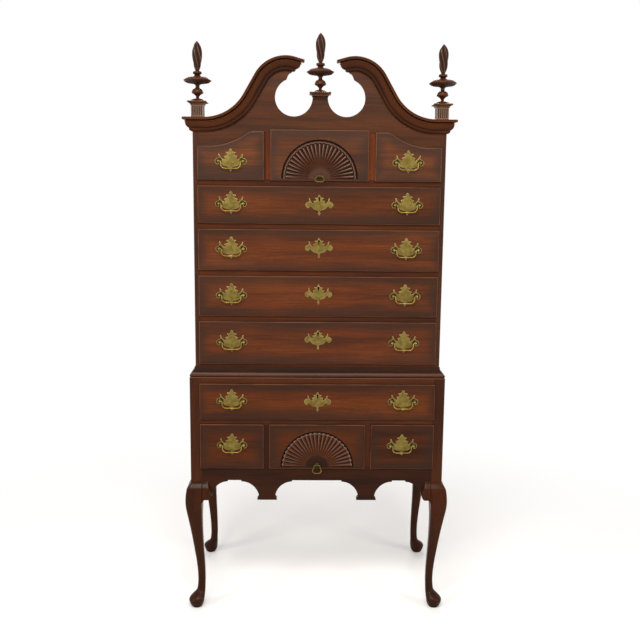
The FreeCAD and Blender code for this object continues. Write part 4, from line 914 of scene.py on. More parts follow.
head = Shape()
dome = [(2.0, -30.0), (2.0, 0.0), (4.0, 0.0), (4.0, 0.7), (3.6, 1.25), (2.9, 1.6)]
turning(head, dome, (0, 0, 0), "y", 20)
for side in (-1, 1):
    half_moon = [(2.9 * math.cos(a) * side, 2.9 * math.sin(a)) for a in np.linspace(-1.32, 1.32, 9)]
    board(head, half_moon, "y", 1.5, 2.0)
screw_object = piece("slotted_screw", head, [steel])
places = [(side * SCREW_X, back, lower_top + pitch * (index + share))
          for index in range(4) for share in (0.2, 0.8) for side in (-1, 1)]
screws = grown("case_screws_slotted", screw_tree, places, Screw=screw_object, Seed=7, Material=steel)
bpy.data.objects.remove(screw_object)
dressed("case_screws_slotted", screws, [steel], "case", ["case_screws"])
print("back boards 4, screws", len(places))

# %% [markdown]
# ## Cabriole legs
# Each leg is shaped from one square post: a knee that swells out, a slender ankle, and a round pad
# foot. Its sections are squares with rounded corners that turn rounder on the way down. The CAD
# stations are joined by a smooth curve here, with many more sections, and a rounded shoulder leads
# from the top of the knee back to the post.

# %% Legs
# From the floor up: height, reach outside the post, reach inside it, and roundness.
LEG_STATIONS = np.array((
    (0.0, -1.0, 29.0, 1.0), (2.0, 3.0, 32.5, 1.0), (8.0, 8.0, 37.5, 1.0), (14.0, 11.3, 40.6, 1.0),
    (20.0, 13.7, 42.6, 1.0), (30.0, 15.6, 44.2, 0.99), (36.0, 14.2, 44.9, 0.98), (42.0, 10.0, 45.4, 0.97),
    (52.0, -1.0, 46.2, 0.95), (62.0, -12.0, 46.6, 0.92), (76.0, -16.5, 47.1, 0.87),
    (112.0, -19.0, 48.0, 0.75), (165.0, -16.5, 47.0, 0.66), (240.0, -7.5, 43.5, 0.58),
    (319.0, 4.0, 41.0, 0.52), (369.0, 12.5, 41.0, 0.47), (410.0, 19.5, 42.0, 0.42),
    (440.0, 21.5, 42.0, 0.36), (470.0, 19.5, 42.0, 0.30), (489.0, 16.6, 42.0, 0.26)))
KNEE_TOP = LEG_STATIONS[-1, 0]
# Above the knee: heights, and the reach outside the post at each.
SHOULDER = ((490.5, 493.0, 496.5, 502.0, 508.0, 512.0, 516.0, 520.0),
            (16.3, 15.3, 13.4, 9.4, 5.0, 2.5, 0.8, 0.0))


def leg_at(z):
    """Reach outside the post, reach inside it and roundness at a height, by a smooth curve."""
    last = len(LEG_STATIONS) - 1
    i = int(np.clip(np.searchsorted(LEG_STATIONS[:, 0], z) - 1, 0, last - 1))
    a, b = LEG_STATIONS[i], LEG_STATIONS[i + 1]
    before, after = LEG_STATIONS[max(i - 1, 0)], LEG_STATIONS[min(i + 2, last)]
    gap = b[0] - a[0]
    slope_a = (b - before) / (b[0] - before[0]) * gap
    slope_b = (after - a) / (after[0] - a[0]) * gap
    _, out, reach_in, roundness = eased((z - a[0]) / gap, a, b, slope_a, slope_b)
    return out, reach_in, min(roundness, 1.0)


def leg_ring(z, out, reach_in, roundness, inner_round):
    """Section of the front right leg: a square whose inner corners may be crisper than its outer one."""
    half = (out + reach_in) / 2.0
    cx, cy = lower_half + out - half, lower_front - out + half
    ring = []
    for quarter in range(4):
        base = math.pi / 2 * quarter
        radius = half * (roundness if quarter == 3 else inner_round)
        flat = half - radius
        corner = base + math.pi / 4
        kx = cx + flat * math.copysign(1, math.cos(corner))
        ky = cy + flat * math.copysign(1, math.sin(corner))
        for step in range(9):
            angle = base + math.pi / 2 * step / 8
            ring.append((kx + radius * math.cos(angle), ky + radius * math.sin(angle), z))
    return ring


def leg_shape():
    rows = []
    for z in sorted({*np.arange(0.0, 60.0, 2.0), *np.arange(60.0, 488.0, 5.0), 2.5, KNEE_TOP}):
        out, reach_in, roundness = leg_at(z)
        crisp = smooth(z, 380.0, 440.0)
        rows.append(leg_ring(z, out, reach_in, roundness, roundness * (1 - crisp) + 0.05 * crisp))
    rows += [leg_ring(z, out, post_size, 0.24, 0.04) for z, out in zip(*SHOULDER)]
    rows += [leg_ring(z, 0.0, post_size, 0.05, 0.05) for z in (knee_z + 1.0, lower_top)]
    # The leg is painted darker toward the floor, most of all at the foot, as shade and dirt.
    dirt = [0.85 * (1 - smooth(z, 4.0, 24.0)) + 0.25 * (1 - smooth(z, 60.0, 160.0))
            for row in rows for _, _, z in row]
    shape = skin(Shape(), rows, caps=(True, True), dish=dirt)
    shape.slots = [int(min(shape.verts[corner][2] for corner in face) > knee_z - 1.0) for face in shape.faces]
    return shape


for name, left, rear in (("front_right", 0, 0), ("front_left", 1, 0),
                         ("back_right", 0, 1), ("back_left", 1, 1)):
    shape = leg_shape()
    if left:
        shape.mirrored()
    if rear:
        shape.verts = [(x, lower_front + back - y, z) for x, y, z in shape.verts]
    piece("leg_%s_shaped" % name, shape, [wood_leg, wood_post], nodes=["leg_" + name], sharp=24.0,
          marks=("dish",))
print("legs 4,", len(shape.verts), "corners each")

# %% [markdown]
# ## Knee brackets
# A small shaped block is glued on each side of a knee and carved down to flow into it. Its outline
# is a board's, and its face follows the knee's own curve in depth, up over the same shoulder.

# %% Knee brackets
BRACKET_DEEP = 22.0


def bracket_loop():
    """Outline of a bracket: reach from the leg's face, and height."""
    points = [(0.2, 0, 0), (22.0, 0, 0), (36.0, 52.0, -0.14), (25.0, 70.0, 0), (10.0, 70.0, 0.1),
              (0.2, 87.0, 0)]
    return [(u, knee_z - drop) for u, drop in traced(points)]


def knee_front(z):
    """How far the knee's face stands in front of the post at each height."""
    curve = np.array([leg_at(min(height, KNEE_TOP))[0] for height in z])
    return np.where(z > SHOULDER[0][0], np.interp(z, *SHOULDER) + 0.2, curve)


def carved_front(places, from_edge):
    """The bracket's face: it follows the knee, and rounds off toward the edges away from the leg."""
    free = np.where(places[:, 0] < 3.0, 9.0, from_edge)
    return -(knee_front(places[:, 1]) - 0.1 - 2.2 * (1 - smooth(free, 0.0, 3.0)))


def bracket_shape():
    loop = bracket_loop()
    points, faces = filled(loop, spacing=4.0)
    fronts = carved_front(points, distance(points, [loop]))
    shape = Shape().add([(u, y, z) for (u, z), y in zip(points, fronts)], faces)
    rim = [(u, y, z) for (u, z), y in zip(loop, carved_front(np.array(loop), 0.0))]
    return skin(shape, [rim, [(u, BRACKET_DEEP, z) for u, z in loop]], caps=(False, True))


brackets = Shape()
one = bracket_shape()
for side in (-1, 1):
    for put in (lambda u, d, z: (side * (lower_open - u), lower_front + d, z),
                lambda u, d, z: (side * (lower_half - d), lower_front + post_size + u, z),
                lambda u, d, z: (side * (lower_half - d), back - post_size - u, z)):
        brackets.add([put(*v) for v in one.verts], one.faces)
piece("knee_brackets_carved", brackets, [wood_leg], nodes=["knee_brackets"], sharp=28.0)
print("knee brackets 6")

# %% [markdown]
# ## Front apron and pediment board
# Both are flat boards sawn to a line: the apron with its arches and two pendants, and the pediment
# board with two round openings, scrolled cuts over the side drawers, and a top that follows the
# swan necks. Arcs are drawn with short steps, so their edges stay smooth close up.

# %% Apron
APRON_THICK = 22.0
step_z, neck_z, pendant_x = apron_flat - 5.0, 459.5, 191.0
apron_half = [
    (95.0, apron_flat, 0), (95.0, step_z, 0.185), (pendant_x - 31.0, neck_z, 0),
    (pendant_x - 33.5, 457.0, 0.1), (pendant_x - 37.5, 451.0, 0), (pendant_x - 37.5, 445.0, 0),
    (pendant_x + 37.5, 445.0, 0), (pendant_x + 37.5, 451.0, 0.1), (pendant_x + 33.5, 457.0, 0),
    (pendant_x + 31.0, neck_z, 0.185), (290.0, step_z, 0), (290.0, apron_flat, 0), (342.0, apron_flat, 0),
    (342.0, step_z, 0.185), (404.5, neck_z, 0), (404.5, 468.0, 0), (418.5, knee_z, 0),
    (lower_open, knee_z, 0), (lower_open, 577.5, 0)]
apron = traced(with_left_half(apron_half), step=3.0)
apron = board(Shape(), apron, "y", lower_front, lower_front + APRON_THICK)
piece("front_apron_sawn", apron, [wood_apron], nodes=["front_apron"], bevel=0.9)
print("apron corners:", len(apron.verts))

# %% [markdown]
# ## The drawers' table
# Eleven drawers share one pattern. Their faces' sizes come from the frame's own boxes, so the brass
# and the carving land where the CAD model has them. The two outer drawers of the top row have a
# scrolled top: a flat, a hollow, a round and a lower flat.

# %% Drawer table and scrolled outline
Drawer = namedtuple("Drawer", "name x0 x1 z0 z1 front scroll handles keyed pull left tone warm seed")
# How far a front's lip covers the case, how far its face stands proud, and how deep its block goes in.
LIP, PROUD, BLOCK = 5.5, 9.5, 13.0
SCROLL_LEVEL, HANDLE_X = 1785.0, 323.5


def table_row(name, handles, keyed, pull, tone, warm, seed):
    """A drawer with its face's size from the frame. A left one is built on the right and mirrored."""
    low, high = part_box("drawer_" + name)
    x0, x1, z0, z1 = (v / MM for v in (low.x, high.x, low.z, high.z))
    left = x1 < 0
    if left:
        x0, x1 = -x1, -x0
    front = lower_front if name.startswith("lower") else upper_front
    scroll = SCROLL_LEVEL if name in ("top_left", "top_right") else None
    return Drawer(name, x0, x1, z0, z1, front, scroll, handles, keyed, pull, left, tone, warm, seed)


left_one, right_one = (-HANDLE_X,), (HANDLE_X,)
pair = left_one + right_one
# Name, places of the handles, lock, drop of the small pull, and the polish: tone, warmth and seed.
drawers = [table_row(*row) for row in (
    ("upper_long_1", pair, True, 0, 0.98, 0.95, 1.3),
    ("upper_long_2", pair, True, 0, 1.06, 1.00, 4.1),
    ("upper_long_3", pair, True, 0, 1.14, 1.00, 7.7),
    ("upper_long_4", pair, True, 0, 0.84, 1.00, 11.2),
    ("top_left", left_one, False, 0, 1.18, 1.10, 14.9),
    ("top_right", right_one, False, 0, 1.18, 1.10, 18.3),
    ("top_centre", (), False, 20.0, 0.86, 1.10, 21.8),
    ("lower_long", pair, True, 0, 0.95, 0.95, 25.1),
    ("lower_left", left_one, False, 0, 0.72, 0.95, 28.6),
    ("lower_right", right_one, False, 0, 0.70, 0.95, 31.0),
    ("lower_centre", (), False, 31.0, 0.62, 0.95, 34.4))]
by_name = {d.name: d for d in drawers}


def scroll_arcs(d, inset):
    """The scrolled top, from the inner flat to the outer flat, as outline corners."""
    low_x, high_x = d.x1 - 44.0, d.x0 + 37.5
    run, rise = low_x - high_x, d.z1 - d.scroll
    both = (run ** 2 + rise ** 2) / (2.0 * rise)
    radius = 0.82 * both
    angle = math.asin(run / both)
    join_x = low_x - (radius + inset) * math.sin(angle)
    join_z = d.scroll + radius - (radius + inset) * math.cos(angle)
    return [(high_x, d.z1 - inset, swell_of(angle)), (join_x, join_z, -swell_of(angle)),
            (low_x, d.scroll - inset, 0)]


def face_loop(d, inset):
    """Outline of a drawer's face, drawn in by an inset."""
    x0, x1, z0, z1 = d.x0 + inset, d.x1 - inset, d.z0 + inset, d.z1 - inset
    top = [*scroll_arcs(d, inset), (x1, d.scroll - inset, 0)] if d.scroll else [(x1, z1, 0)]
    return traced([(x0, z0, 0), (x0, z1, 0), *top, (x1, z0, 0)], step=3.0)


print("drawers:", len(drawers), "handles:", sum(len(d.handles) for d in drawers))

# %% Pediment board
PEDIMENT_THICK = 20.0
neck_x, top_line = 418.0, upper_top
cap_line = top_line + 78.0
low_centre, low_radius = (neck_x, top_line + 165.0), 165.0
low_end = polar(low_centre, low_radius, -150.0)
slope_run = 80.3
high_start = (low_end[0] - 0.5 * slope_run, low_end[1] + math.sqrt(0.75) * slope_run)
high_radius, end_angle = 128.0, 106.0
high_centre = polar(high_start, high_radius, -150.0)
hole_x, hole_z, hole_radius, hole_open = 95.5, top_line + 75.0, 68.0, 66.5
side_d, mid_d = by_name["top_right"], by_name["top_centre"]
board_half = [
    (mid_d.x1 - LIP, mid_d.z1 - LIP, 0), (mid_d.x1 - LIP, side_d.z1 - LIP, 0), *scroll_arcs(side_d, LIP),
    (upper_open, side_d.scroll - LIP, 0), (upper_open, top_line, 0),
    (neck_x, top_line, swell_of(math.radians(60))), (*low_end, 0),
    (*high_start, -swell_of(math.radians(end_angle - 30))), (*polar(high_centre, high_radius, end_angle), 0),
    (*polar(high_centre, high_radius - 50.0, end_angle), 0), (113.0, top_line + 157.0, 0),
    (117.0, top_line + 151.0, 0),
    (*polar((hole_x, hole_z), hole_radius, hole_open), swell_of(math.radians(180 + hole_open))),
    (hole_x - hole_radius, hole_z, 0), (hole_x - hole_radius, cap_line, 0)]
pediment = traced(with_left_half(board_half), step=2.5)
pediment = board(Shape(), pediment, "y", upper_front, upper_front + PEDIMENT_THICK)
piece("pediment_board_sawn", pediment, [wood_board], nodes=["pediment_board"], bevel=0.9)
print("pediment corners:", len(pediment.verts))

# %% [markdown]
# ## Waist and cornice mouldings
# A moulding is a profile run along a path. The waist goes round three sides of the upper case's
# foot. The cornice runs along the sides, turns the corner with a mitre, stays level for a little,
# and then climbs the swan neck: a hollow arc, a straight slope, and the round of the crown, which
# ends in a small return. Its UV map holds metres along the run, so the grain follows the curve.
# Dirt and painted shade lie where a profile is hollow, and a highlight is painted on the waist's crest.

# %% Mouldings


def run_moulding(shape, rows, profile, shade=None):
    """Skins profile rows, with a UV of metres along the run and round the profile."""
    dish, inset = hollows(profile)
    if shade is not None:
        dish = np.where(np.abs(shade) > np.abs(dish), shade, dish)
    middle = [np.mean(row, axis=0) for row in rows]
    along = np.concatenate([[0], np.cumsum([np.linalg.norm(b - a) for a, b in zip(middle, middle[1:])])])
    uvs = []
    for row, length in zip(rows, along):
        walked = 0.0
        for i, place in enumerate(row):
            walked += math.dist(place, row[i - 1]) if i else 0.0
            uvs.append((length * MM, walked * MM))
    dish, inset = list(dish) * len(rows), list(inset) * len(rows)
    return skin(shape, rows, uvs, caps=(True, True), dish=dish, inset=inset)


waist_profile = dense(traced([
    (0.0, 0.0, 0), (0.0, 41.0, 0), (2.3, 41.0, 0.2), (2.94, 40.2, 0), (2.94, 38.2, -0.12),
    (8.0, 23.0, 0.12), (20.9, 9.0, 0.1), (21.0, 7.6, 0), (19.0, 6.6, 0), (19.0, 3.2, 0), (20.4, 2.4, 0),
    (20.6, 0.0, 0)], step=9.0))
heights = np.array(waist_profile)[:, 1]
# On the waist the top member and the groove are painted dark as shade, and highlights are painted at the
# crest and on the bottom bead.
waist_shade = (0.85 * smooth(heights, 19.5, 23.0) + 0.9 * ((heights > 2.8) & (heights < 7.0))
               - 0.24 * (1 - smooth(abs(heights - 17.0), 1.5, 4.5)) - 0.3 * (heights < 2.8))
rows = [[(side * (upper_half + p), back if at_back else upper_front - p, lower_top + h)
         for p, h in waist_profile]
        for side, at_back in ((1, True), (1, False), (-1, False), (-1, True))]
piece("waist_moulding_run", run_moulding(Shape(), rows, waist_profile, waist_shade), [wood_run],
      nodes=["waist_moulding"], sharp=24.0, marks=("inset", "dish"))

cornice_profile = dense(traced([
    (0.0, 0.0, 0), (31.0, 0.0, -0.20), (34.0, 3.0, -0.05), (34.0, 6.5, -0.20), (31.0, 9.5, 0),
    (22.0, 10.0, 0), (22.0, 14.0, 0), (26.0, 14.6, 0), (26.0, 16.4, 0), (23.6, 17.0, 0),
    (23.6, 18.4, -0.14), (14.0, 37.0, 0), (11.6, 37.6, 0), (11.6, 43.0, -0.14), (3.0, 49.4, 0),
    (0.0, 50.0, 0)], step=9.0))


def cornice_rows():
    """The right-hand half of the cornice, from the back: side, corner, level, swan neck and return."""
    rows = [[(upper_half + p, back, top_line - d) for p, d in cornice_profile],
            [(upper_half + p, upper_front - p, top_line - d) for p, d in cornice_profile],
            [(neck_x, upper_front - p, top_line - d) for p, d in cornice_profile]]
    for centre, radius, way, angles in ((low_centre, low_radius, 1, np.linspace(-90, -150, 21)[1:]),
                                        (high_centre, high_radius, -1, np.linspace(30, end_angle, 25)[:-1])):
        for angle in angles:
            places = [polar(centre, radius + way * d, angle) for _, d in cornice_profile]
            rows.append([(x, upper_front - p, z) for (x, z), (p, _) in zip(places, cornice_profile)])
    angle = math.radians(end_angle)
    ends = []
    for p, d in cornice_profile:
        x, z = polar(high_centre, high_radius - d, end_angle)
        ends.append((x - p * math.sin(angle), z + p * math.cos(angle)))
    rows.append([(x, upper_front - p, z) for (x, z), (p, _) in zip(ends, cornice_profile)])
    rows.append([(x, upper_front + 0.05, z) for x, z in ends])
    return rows


rows = cornice_rows()
cornice = run_moulding(Shape(), rows, cornice_profile)
left = run_moulding(Shape(), rows, cornice_profile).mirrored()
cornice.add(left.verts, left.faces, left.uvs, dish=left.marks["dish"], inset=left.marks["inset"])
piece("cornice_run", cornice, [wood_run], nodes=["cornice_mouldings"], sharp=24.0, marks=("inset", "dish"))
print("waist rows 4, cornice rows", len(rows))

# %% [markdown]
# ## Plinths and their caps
# A fluted square block stands on each corner of the cornice, and carries a splayed cap. The flutes
# are cut with a round-nosed gouge and stop short of both ends. The centre cap stands on the board's
# neck between the two holes, with a post glued behind.

# %% Plinths
FLUTE, STOP, SHAFT_HALF, SHAFT_HIGH, CAP_HIGH = 2.3, 3.0, 22.0, 41.0, 15.0
# Name, middle, foot of the cap, and the half widths of the cap's foot and top.
stands = (("left", -440.0, upper_front - 12.0, top_line + SHAFT_HIGH, 24.0, 34.5),
          ("right", 440.0, upper_front - 12.0, top_line + SHAFT_HIGH, 24.0, 34.5),
          ("centre", 0.0, upper_front + 10.0, cap_line, 29.5, 39.0))


def fluted_face():
    """One face of a plinth as a grid: places across it, how deep the flutes cut, and places up it."""
    middles = [(i - 2) * 2.0 * SHAFT_HALF / 6 for i in range(5)]
    bend = [math.sin(math.radians(a)) for a in (-90, -60, -30, 0, 30, 60, 90)]
    across = sorted({-SHAFT_HALF, SHAFT_HALF, *(round(m + FLUTE * s, 4) for m in middles for s in bend)})
    nose = [STOP + FLUTE * (1 - math.cos(math.radians(a))) for a in (0, 30, 50, 70, 90)]
    grid = []
    for z in [0.0, *nose, *(SHAFT_HIGH - n for n in reversed(nose)), SHAFT_HIGH]:
        row = []
        for u in across:
            near = min(abs(u - m) for m in middles)
            past = max(STOP + FLUTE - z, z - (SHAFT_HIGH - STOP - FLUTE), 0.0)
            row.append((u, SHAFT_HALF - 1.25 * math.sqrt(max(FLUTE ** 2 - near ** 2 - past ** 2, 0.0)), z))
        grid.append(row)
    return grid


def shaft(shape, cx, cy):
    """A fluted block: four cut faces, with painted shade and dirt in the flutes and a painted highlight on
    their flats, and two square ends.
    """
    grid = fluted_face()
    # The flutes' floors are painted dark as shade and dirt, and the flats get a painted highlight.
    dirt = [1.6 * smooth(SHAFT_HALF - v, 0.2, 2.4) - 0.6 for row in grid for _, v, _ in row]
    ends = [[], []]
    for quarter in range(4):
        c, s = math.cos(math.pi / 2 * quarter), math.sin(math.pi / 2 * quarter)
        rows = [[(cx + c * u - s * v, cy + s * u + c * v, top_line + z) for u, v, z in row] for row in grid]
        skin(shape, rows, closed=False, dish=dirt)
        for end, row in zip(ends, (rows[0], rows[-1])):
            end += row[:0:-1]
    for end in ends:
        shape.add(end, [list(range(len(end)))])


def cap(shape, cx, cy, z0, foot, top):
    """A splayed cap: a hollow rises from its foot to a thin edge. Dirt and painted shade lie in the hollow.
    """
    spread = top - 1.0 - foot
    curve = [(foot + spread * (1 - math.cos(t)), 1.2 + 7.4 * math.sin(t))
             for t in np.linspace(0, math.pi / 2, 9)]
    stations = [(foot, 0.0), *curve, (top - 0.6, 9.0), (top, 9.6), (top, 11.6), (top - 1.2, 13.2),
                (top - 5.0, 14.6), (top - 8.0, CAP_HIGH)]
    rows = [[(cx + a * half, cy + b * half, z0 + z) for a, b in ((-1, -1), (1, -1), (1, 1), (-1, 1))]
            for half, z in stations]
    section = stations + [(-half, z) for half, z in reversed(stations)]
    dish = hollows(section)[0][:len(stations)]
    return skin(shape, rows, caps=(True, True), dish=np.repeat(dish, 4))


plinths = Shape()
for name, cx, cy, z, foot, top in stands:
    if name != "centre":
        shaft(plinths, cx, cy)
    cap(plinths, cx, cy, z, foot, top)
slab(plinths, -27.5, 27.5, upper_front + PEDIMENT_THICK, upper_front + 64.0, top_line, cap_line)
piece("finial_plinths_cut", plinths, [wood_plinth], nodes=["finial_plinths"], sharp=28.0, marks=("dish",))
print("plinths", len(stands))

# %% [markdown]
# ## Flame finials
# Each finial is turned in one piece with its dowel: a foot, a small ball, a broad disc like a dish,
# and a flame above. A carver then cuts hollow flutes that wind round the flame, and small lobes
# under and over the disc. The turning's points are joined by their arcs.

# %% Finials
TURNING = (
    (27.0, 0.0, -0.10), (16.0, 8.0, 0.12), (5.0, 13.5, 0.10), (18.5, 25.5, -0.25), (20.0, 33.0, -0.20),
    (8.5, 44.0, 0.10), (8.5, 56.0, 0.08), (34.0, 62.0, -0.10), (48.5, 69.5, -0.25), (48.5, 74.0, -0.08),
    (30.0, 83.0, 0.12), (9.0, 90.5, 0.0), (13.6, 93.5, -0.30), (15.6, 98.0, -0.30), (13.0, 102.5, 0.10),
    (7.0, 107.0, 0))
FLAME = np.array((
    (7.0, 107.0), (10.6, 114.0), (14.0, 124.0), (16.4, 137.0), (17.6, 152.0), (17.9, 167.0), (16.8, 180.0),
    (13.8, 190.0), (8.6, 199.0), (0.6, 207.5)))
# Heights at which each ring of lobes starts, is full, begins to fall and ends, and how deep it is.
LOBES = ((55.5, 59.5, 65.5, 69.0, 0.08), (76.0, 80.0, 87.0, 91.0, 0.07))
slopes = np.gradient(FLAME[:, 0], FLAME[:, 1])


def flame_cut(radius, along, angle):
    """The carver's cuts: a new radius, and a mark: painted shade and dirt above 0, a painted highlight below.
    """
    if along > 107.5:
        wind = angle * 6 / (2 * math.pi) + (along - 107.0) / 62.0
        share = wind - math.floor(wind)
        grow = smooth(along, 108.0, 118.0) * (1.0 - 0.4 * smooth(along, 188.0, 206.0))
        depth = grow * (1.0 - (2 * abs(share - 0.5)) ** 1.8)
        return radius * (1.0 - 0.27 * depth), depth if depth > 0.35 else (depth / 0.35 - 1.0) * grow * 0.42
    for start, full, fall, end, cut in LOBES:
        if start < along < end:
            valley = 1 - (0.5 + 0.5 * math.cos(20 * angle)) ** 0.6
            valley *= smooth(along, start, full) * (1 - smooth(along, fall, end))
            # Under the disc the mark paints the disc's shade.
            return radius * (1.0 - cut * valley), max(valley, 0.7 * (1 - smooth(along, 62.0, 70.5)))
    return radius, 0.0


def flame_radius(h):
    i = int(np.clip(np.searchsorted(FLAME[:, 1], h) - 1, 0, len(FLAME) - 2))
    (r0, h0), (r1, h1) = FLAME[i], FLAME[i + 1]
    gap = h1 - h0
    return eased((h - h0) / gap, r0, r1, gap * slopes[i], gap * slopes[i + 1])


heights = np.linspace(*FLAME[[0, -1], 1], 52)[1:]
finial_profile = [(6.0, -14.0), (6.0, 0.0), *dense(traced(list(TURNING), closed=False, step=9.0), 1.5, False),
                  *((flame_radius(h), h) for h in heights)]
finial_shade_and_dirt = hollows(finial_profile + [(-r, h) for r, h in reversed(finial_profile)])[0]
for name, x, y, z, *_ in stands:
    finial = turning(Shape(), finial_profile, (x, y, z + CAP_HIGH), "z", 120, carve=flame_cut,
                     dirt=finial_shade_and_dirt)
    piece("finial_%s_carved" % name, finial, [wood_carved], nodes=["finial_" + name], sharp=30.0,
          marks=("dish",))
print("finials 3,", len(finial.verts), "corners each")

# %% [markdown]
# ## Carved fans
# The two middle drawers have a half-round fan, sunk a few millimetres into the face. One rib is a
# narrow sector from the hub to the rim. Geometry Nodes turns copies of it round the hub and welds
# them, which is how the carver works too: step the ribs off with dividers, then cut them all alike.
# The upper fan ends in a bead and a groove, the lower one in a raised lip. Shade and dirt are painted
# between the ribs, and a highlight is painted on each rib's light side. A flat back closes the sheet.

# %% Fan trees
Fan = namedtuple("Fan", "upper ribs hub tone")
fans = {"top_centre": Fan(True, 25, 34.0, 0.58), "lower_centre": Fan(False, 24, 44.0, 0.80)}
# A fan's radius, its middle's height over the drawer's lower edge, and its depth behind the face.
FAN_R, FAN_RISE, FAN_DEEP = 140.0, 9.0, 7.0
fan_tree, given = geometry_tree("fan_of_ribs", [
    ("Rib", "Object", None), ("Count", "Int", 25), ("Pitch", "Float", 0.12), ("Weld", "Float", SAME_PLACE)])
steps = node(fan_tree, "GeometryNodeMeshLine", [("Count", given["Count"]), ("Offset", (0, 0, 0))]).outputs[0]
turn_at = times(fan_tree, node(fan_tree, "GeometryNodeInputIndex").outputs[0], given["Pitch"])
set_out(fan_tree, given, steps, object_in(fan_tree, given["Rib"]), turn_at, given["Weld"])


def fan_relief(fan, r, share):
    """One point of a rib, across it from -1 to 1: (depth below the face, mark: painted shade and dirt above
    0, a painted highlight below).
    """
    side = abs(share)
    end = 127.0 - 4.0 * side ** 2 if fan.upper else 135.5 - 5.5 * side ** 2
    grow, reach = smooth(r, fan.hub, fan.hub + (12 if fan.upper else 9)), smooth(r, 42, 105)
    crown = 0.5 + 0.9 * smooth(r, 20, 60) * (1 - smooth(r, 85, 122))
    depth = crown + (grow * (2.4 + 2.4 * reach) - crown) * side ** 2.4
    # Dark between the ribs: painted shade and dirt.
    dirt = 0.15 + grow * (0.50 + 0.35 * reach) * smooth(side, 0.50, 0.92)
    # A highlight is painted on each rib's light side.
    bright = 1.15 * smooth(r, 60, 112) if fan.upper else 0.68 * smooth(r, 50, 100)
    sheen_mark = (0.06 + bright) * grow * (1 - smooth(abs(share + 0.18), 0.03, 0.24))
    # Each rib's end drops into a pocket that is painted dark as shade.
    rim = smooth(r, end - 3.0, end)
    depth, dirt, sheen_mark = max(depth, 4.6 * rim), max(dirt, rim), sheen_mark * (1 - rim)
    # The upper fan's bead gets a painted highlight and its groove painted shade.
    if fan.upper and r > end:
        bead = 0.4 + 0.84 * smooth(r, 132.4, 133.9)
        groove = 5.0 * math.sqrt(max(0.0, 1 - ((r - 137.0) / 3.2) ** 2))
        step = smooth(r, end + 0.8, end + 2.6)
        depth = groove if r > 133.9 else depth + (bead - depth) * step
        dirt = smooth(groove, 1.0, 3.5) if r > 133.9 else 1.0 - step
        crest = 0.10 + 0.55 * (1 - smooth(abs(r - end - 3.0), 0.6, 2.0))
        sheen_mark = step * crest * (1 - smooth(r, 132.0, 133.9))
    # The lower fan's raised lip gets a painted highlight.
    if not fan.upper:
        lip = 1 - smooth(abs(r - end + 2.6), 0.7, 2.2)
        depth, dirt, sheen_mark = depth - 0.6 * lip * (1 - rim), dirt * (1 - lip), max(sheen_mark, 0.88 * lip)
        out = smooth(r, 138.4, 140.0)
        depth, dirt = depth * (1 - out), dirt * (1 - out)
    return max(depth, 0.0), dirt - sheen_mark


def hub_mark(fan, r, side):
    """The hub: painted shade behind the pull, then on the upper fan a painted highlight with fine dark lines,
    and on the lower fan plain wood painted darker and dull.
    """
    behind = 1 - smooth(r, 9, 16)
    plain = 0.60 * smooth(side, 0.50, 0.95) - 0.20 if fan.upper else 0.80
    return 0.95 * behind + plain * (1 - behind)


def rib_mesh(fan, name):
    """The first rib as an open sheet, its hub being domed, with its painted shade, dirt and highlight at the
    corners.
    """
    hub, width = fan.hub, math.pi / fan.ribs
    rows, dish = [], []
    for r in sorted({*np.linspace(0.4, hub, 10), *np.linspace(hub, 122, 30), *np.linspace(122, FAN_R, 28)}):
        row = []
        dome = 1.6 * (smooth(r, 14, hub) if r < hub else 1 - smooth(r, hub, hub + 18))
        ribs = smooth(r, hub - 6, hub + 24) if fan.upper else smooth(r, hub - 4, hub + 6)
        for share in np.linspace(-1, 1, 15):
            angle = math.pi - (share + 1) / 2 * width
            depth, mark = fan_relief(fan, r, share) if r >= hub else (0.5, 0.0)
            depth = (depth + dome) * smooth(r, 0, 8)
            row.append((r * math.cos(angle), depth - PROUD, r * math.sin(angle)))
            dish.append(mark * ribs + hub_mark(fan, r, abs(share)) * (1 - ribs))
        rows.append(row)
    shape = skin(Shape(), rows, closed=False)
    mesh = bpy.data.meshes.new(name)
    mesh.from_pydata([[MM * along for along in place] for place in shape.verts], [], shape.faces)
    mesh.attributes.new("dish", "FLOAT", "POINT").data.foreach_set("value", dish)
    return mesh


def backed(mesh, y):
    """Closes an open sheet: its rim is drawn back to the plane y, and a flat back fills it."""
    bm = bmesh.new()
    bm.from_mesh(mesh)
    corners = [edge.link_loops[0] for edge in bm.edges if edge.is_boundary]
    ahead = {corner.vert: corner.link_loop_next.vert for corner in corners}
    rim = [corners[0].vert]
    while ahead[rim[-1]] != rim[0]:
        rim.append(ahead[rim[-1]])
    drawn = [bm.verts.new((vert.co.x, y, vert.co.z), vert) for vert in rim]
    for a, b, c, d in zip(rim, drawn, drawn[1:] + drawn[:1], rim[1:] + rim[:1]):
        bm.faces.new((a, b, c, d))
    bm.faces.new(drawn[::-1])
    bmesh.ops.recalc_face_normals(bm, faces=bm.faces)
    bm.to_mesh(mesh)
    bm.free()
    return mesh


def fan_mesh(d):
    fan = fans[d.name]
    rib = object_of(d.name + "_rib", rib_mesh(fan, d.name + "_rib"))
    mesh = grown(d.name + "_fan", fan_tree, [(0, 0, 0)], Rib=rib, Count=fan.ribs, Pitch=math.pi / fan.ribs,
                 Weld=SAME_PLACE)
    bpy.data.objects.remove(rib)
    mesh.transform(Matrix.Translation((0, d.front * MM, (d.z0 + FAN_RISE) * MM)))
    return backed(mesh, (d.front - PROUD + FAN_DEEP) * MM)


print("fan tree ready")

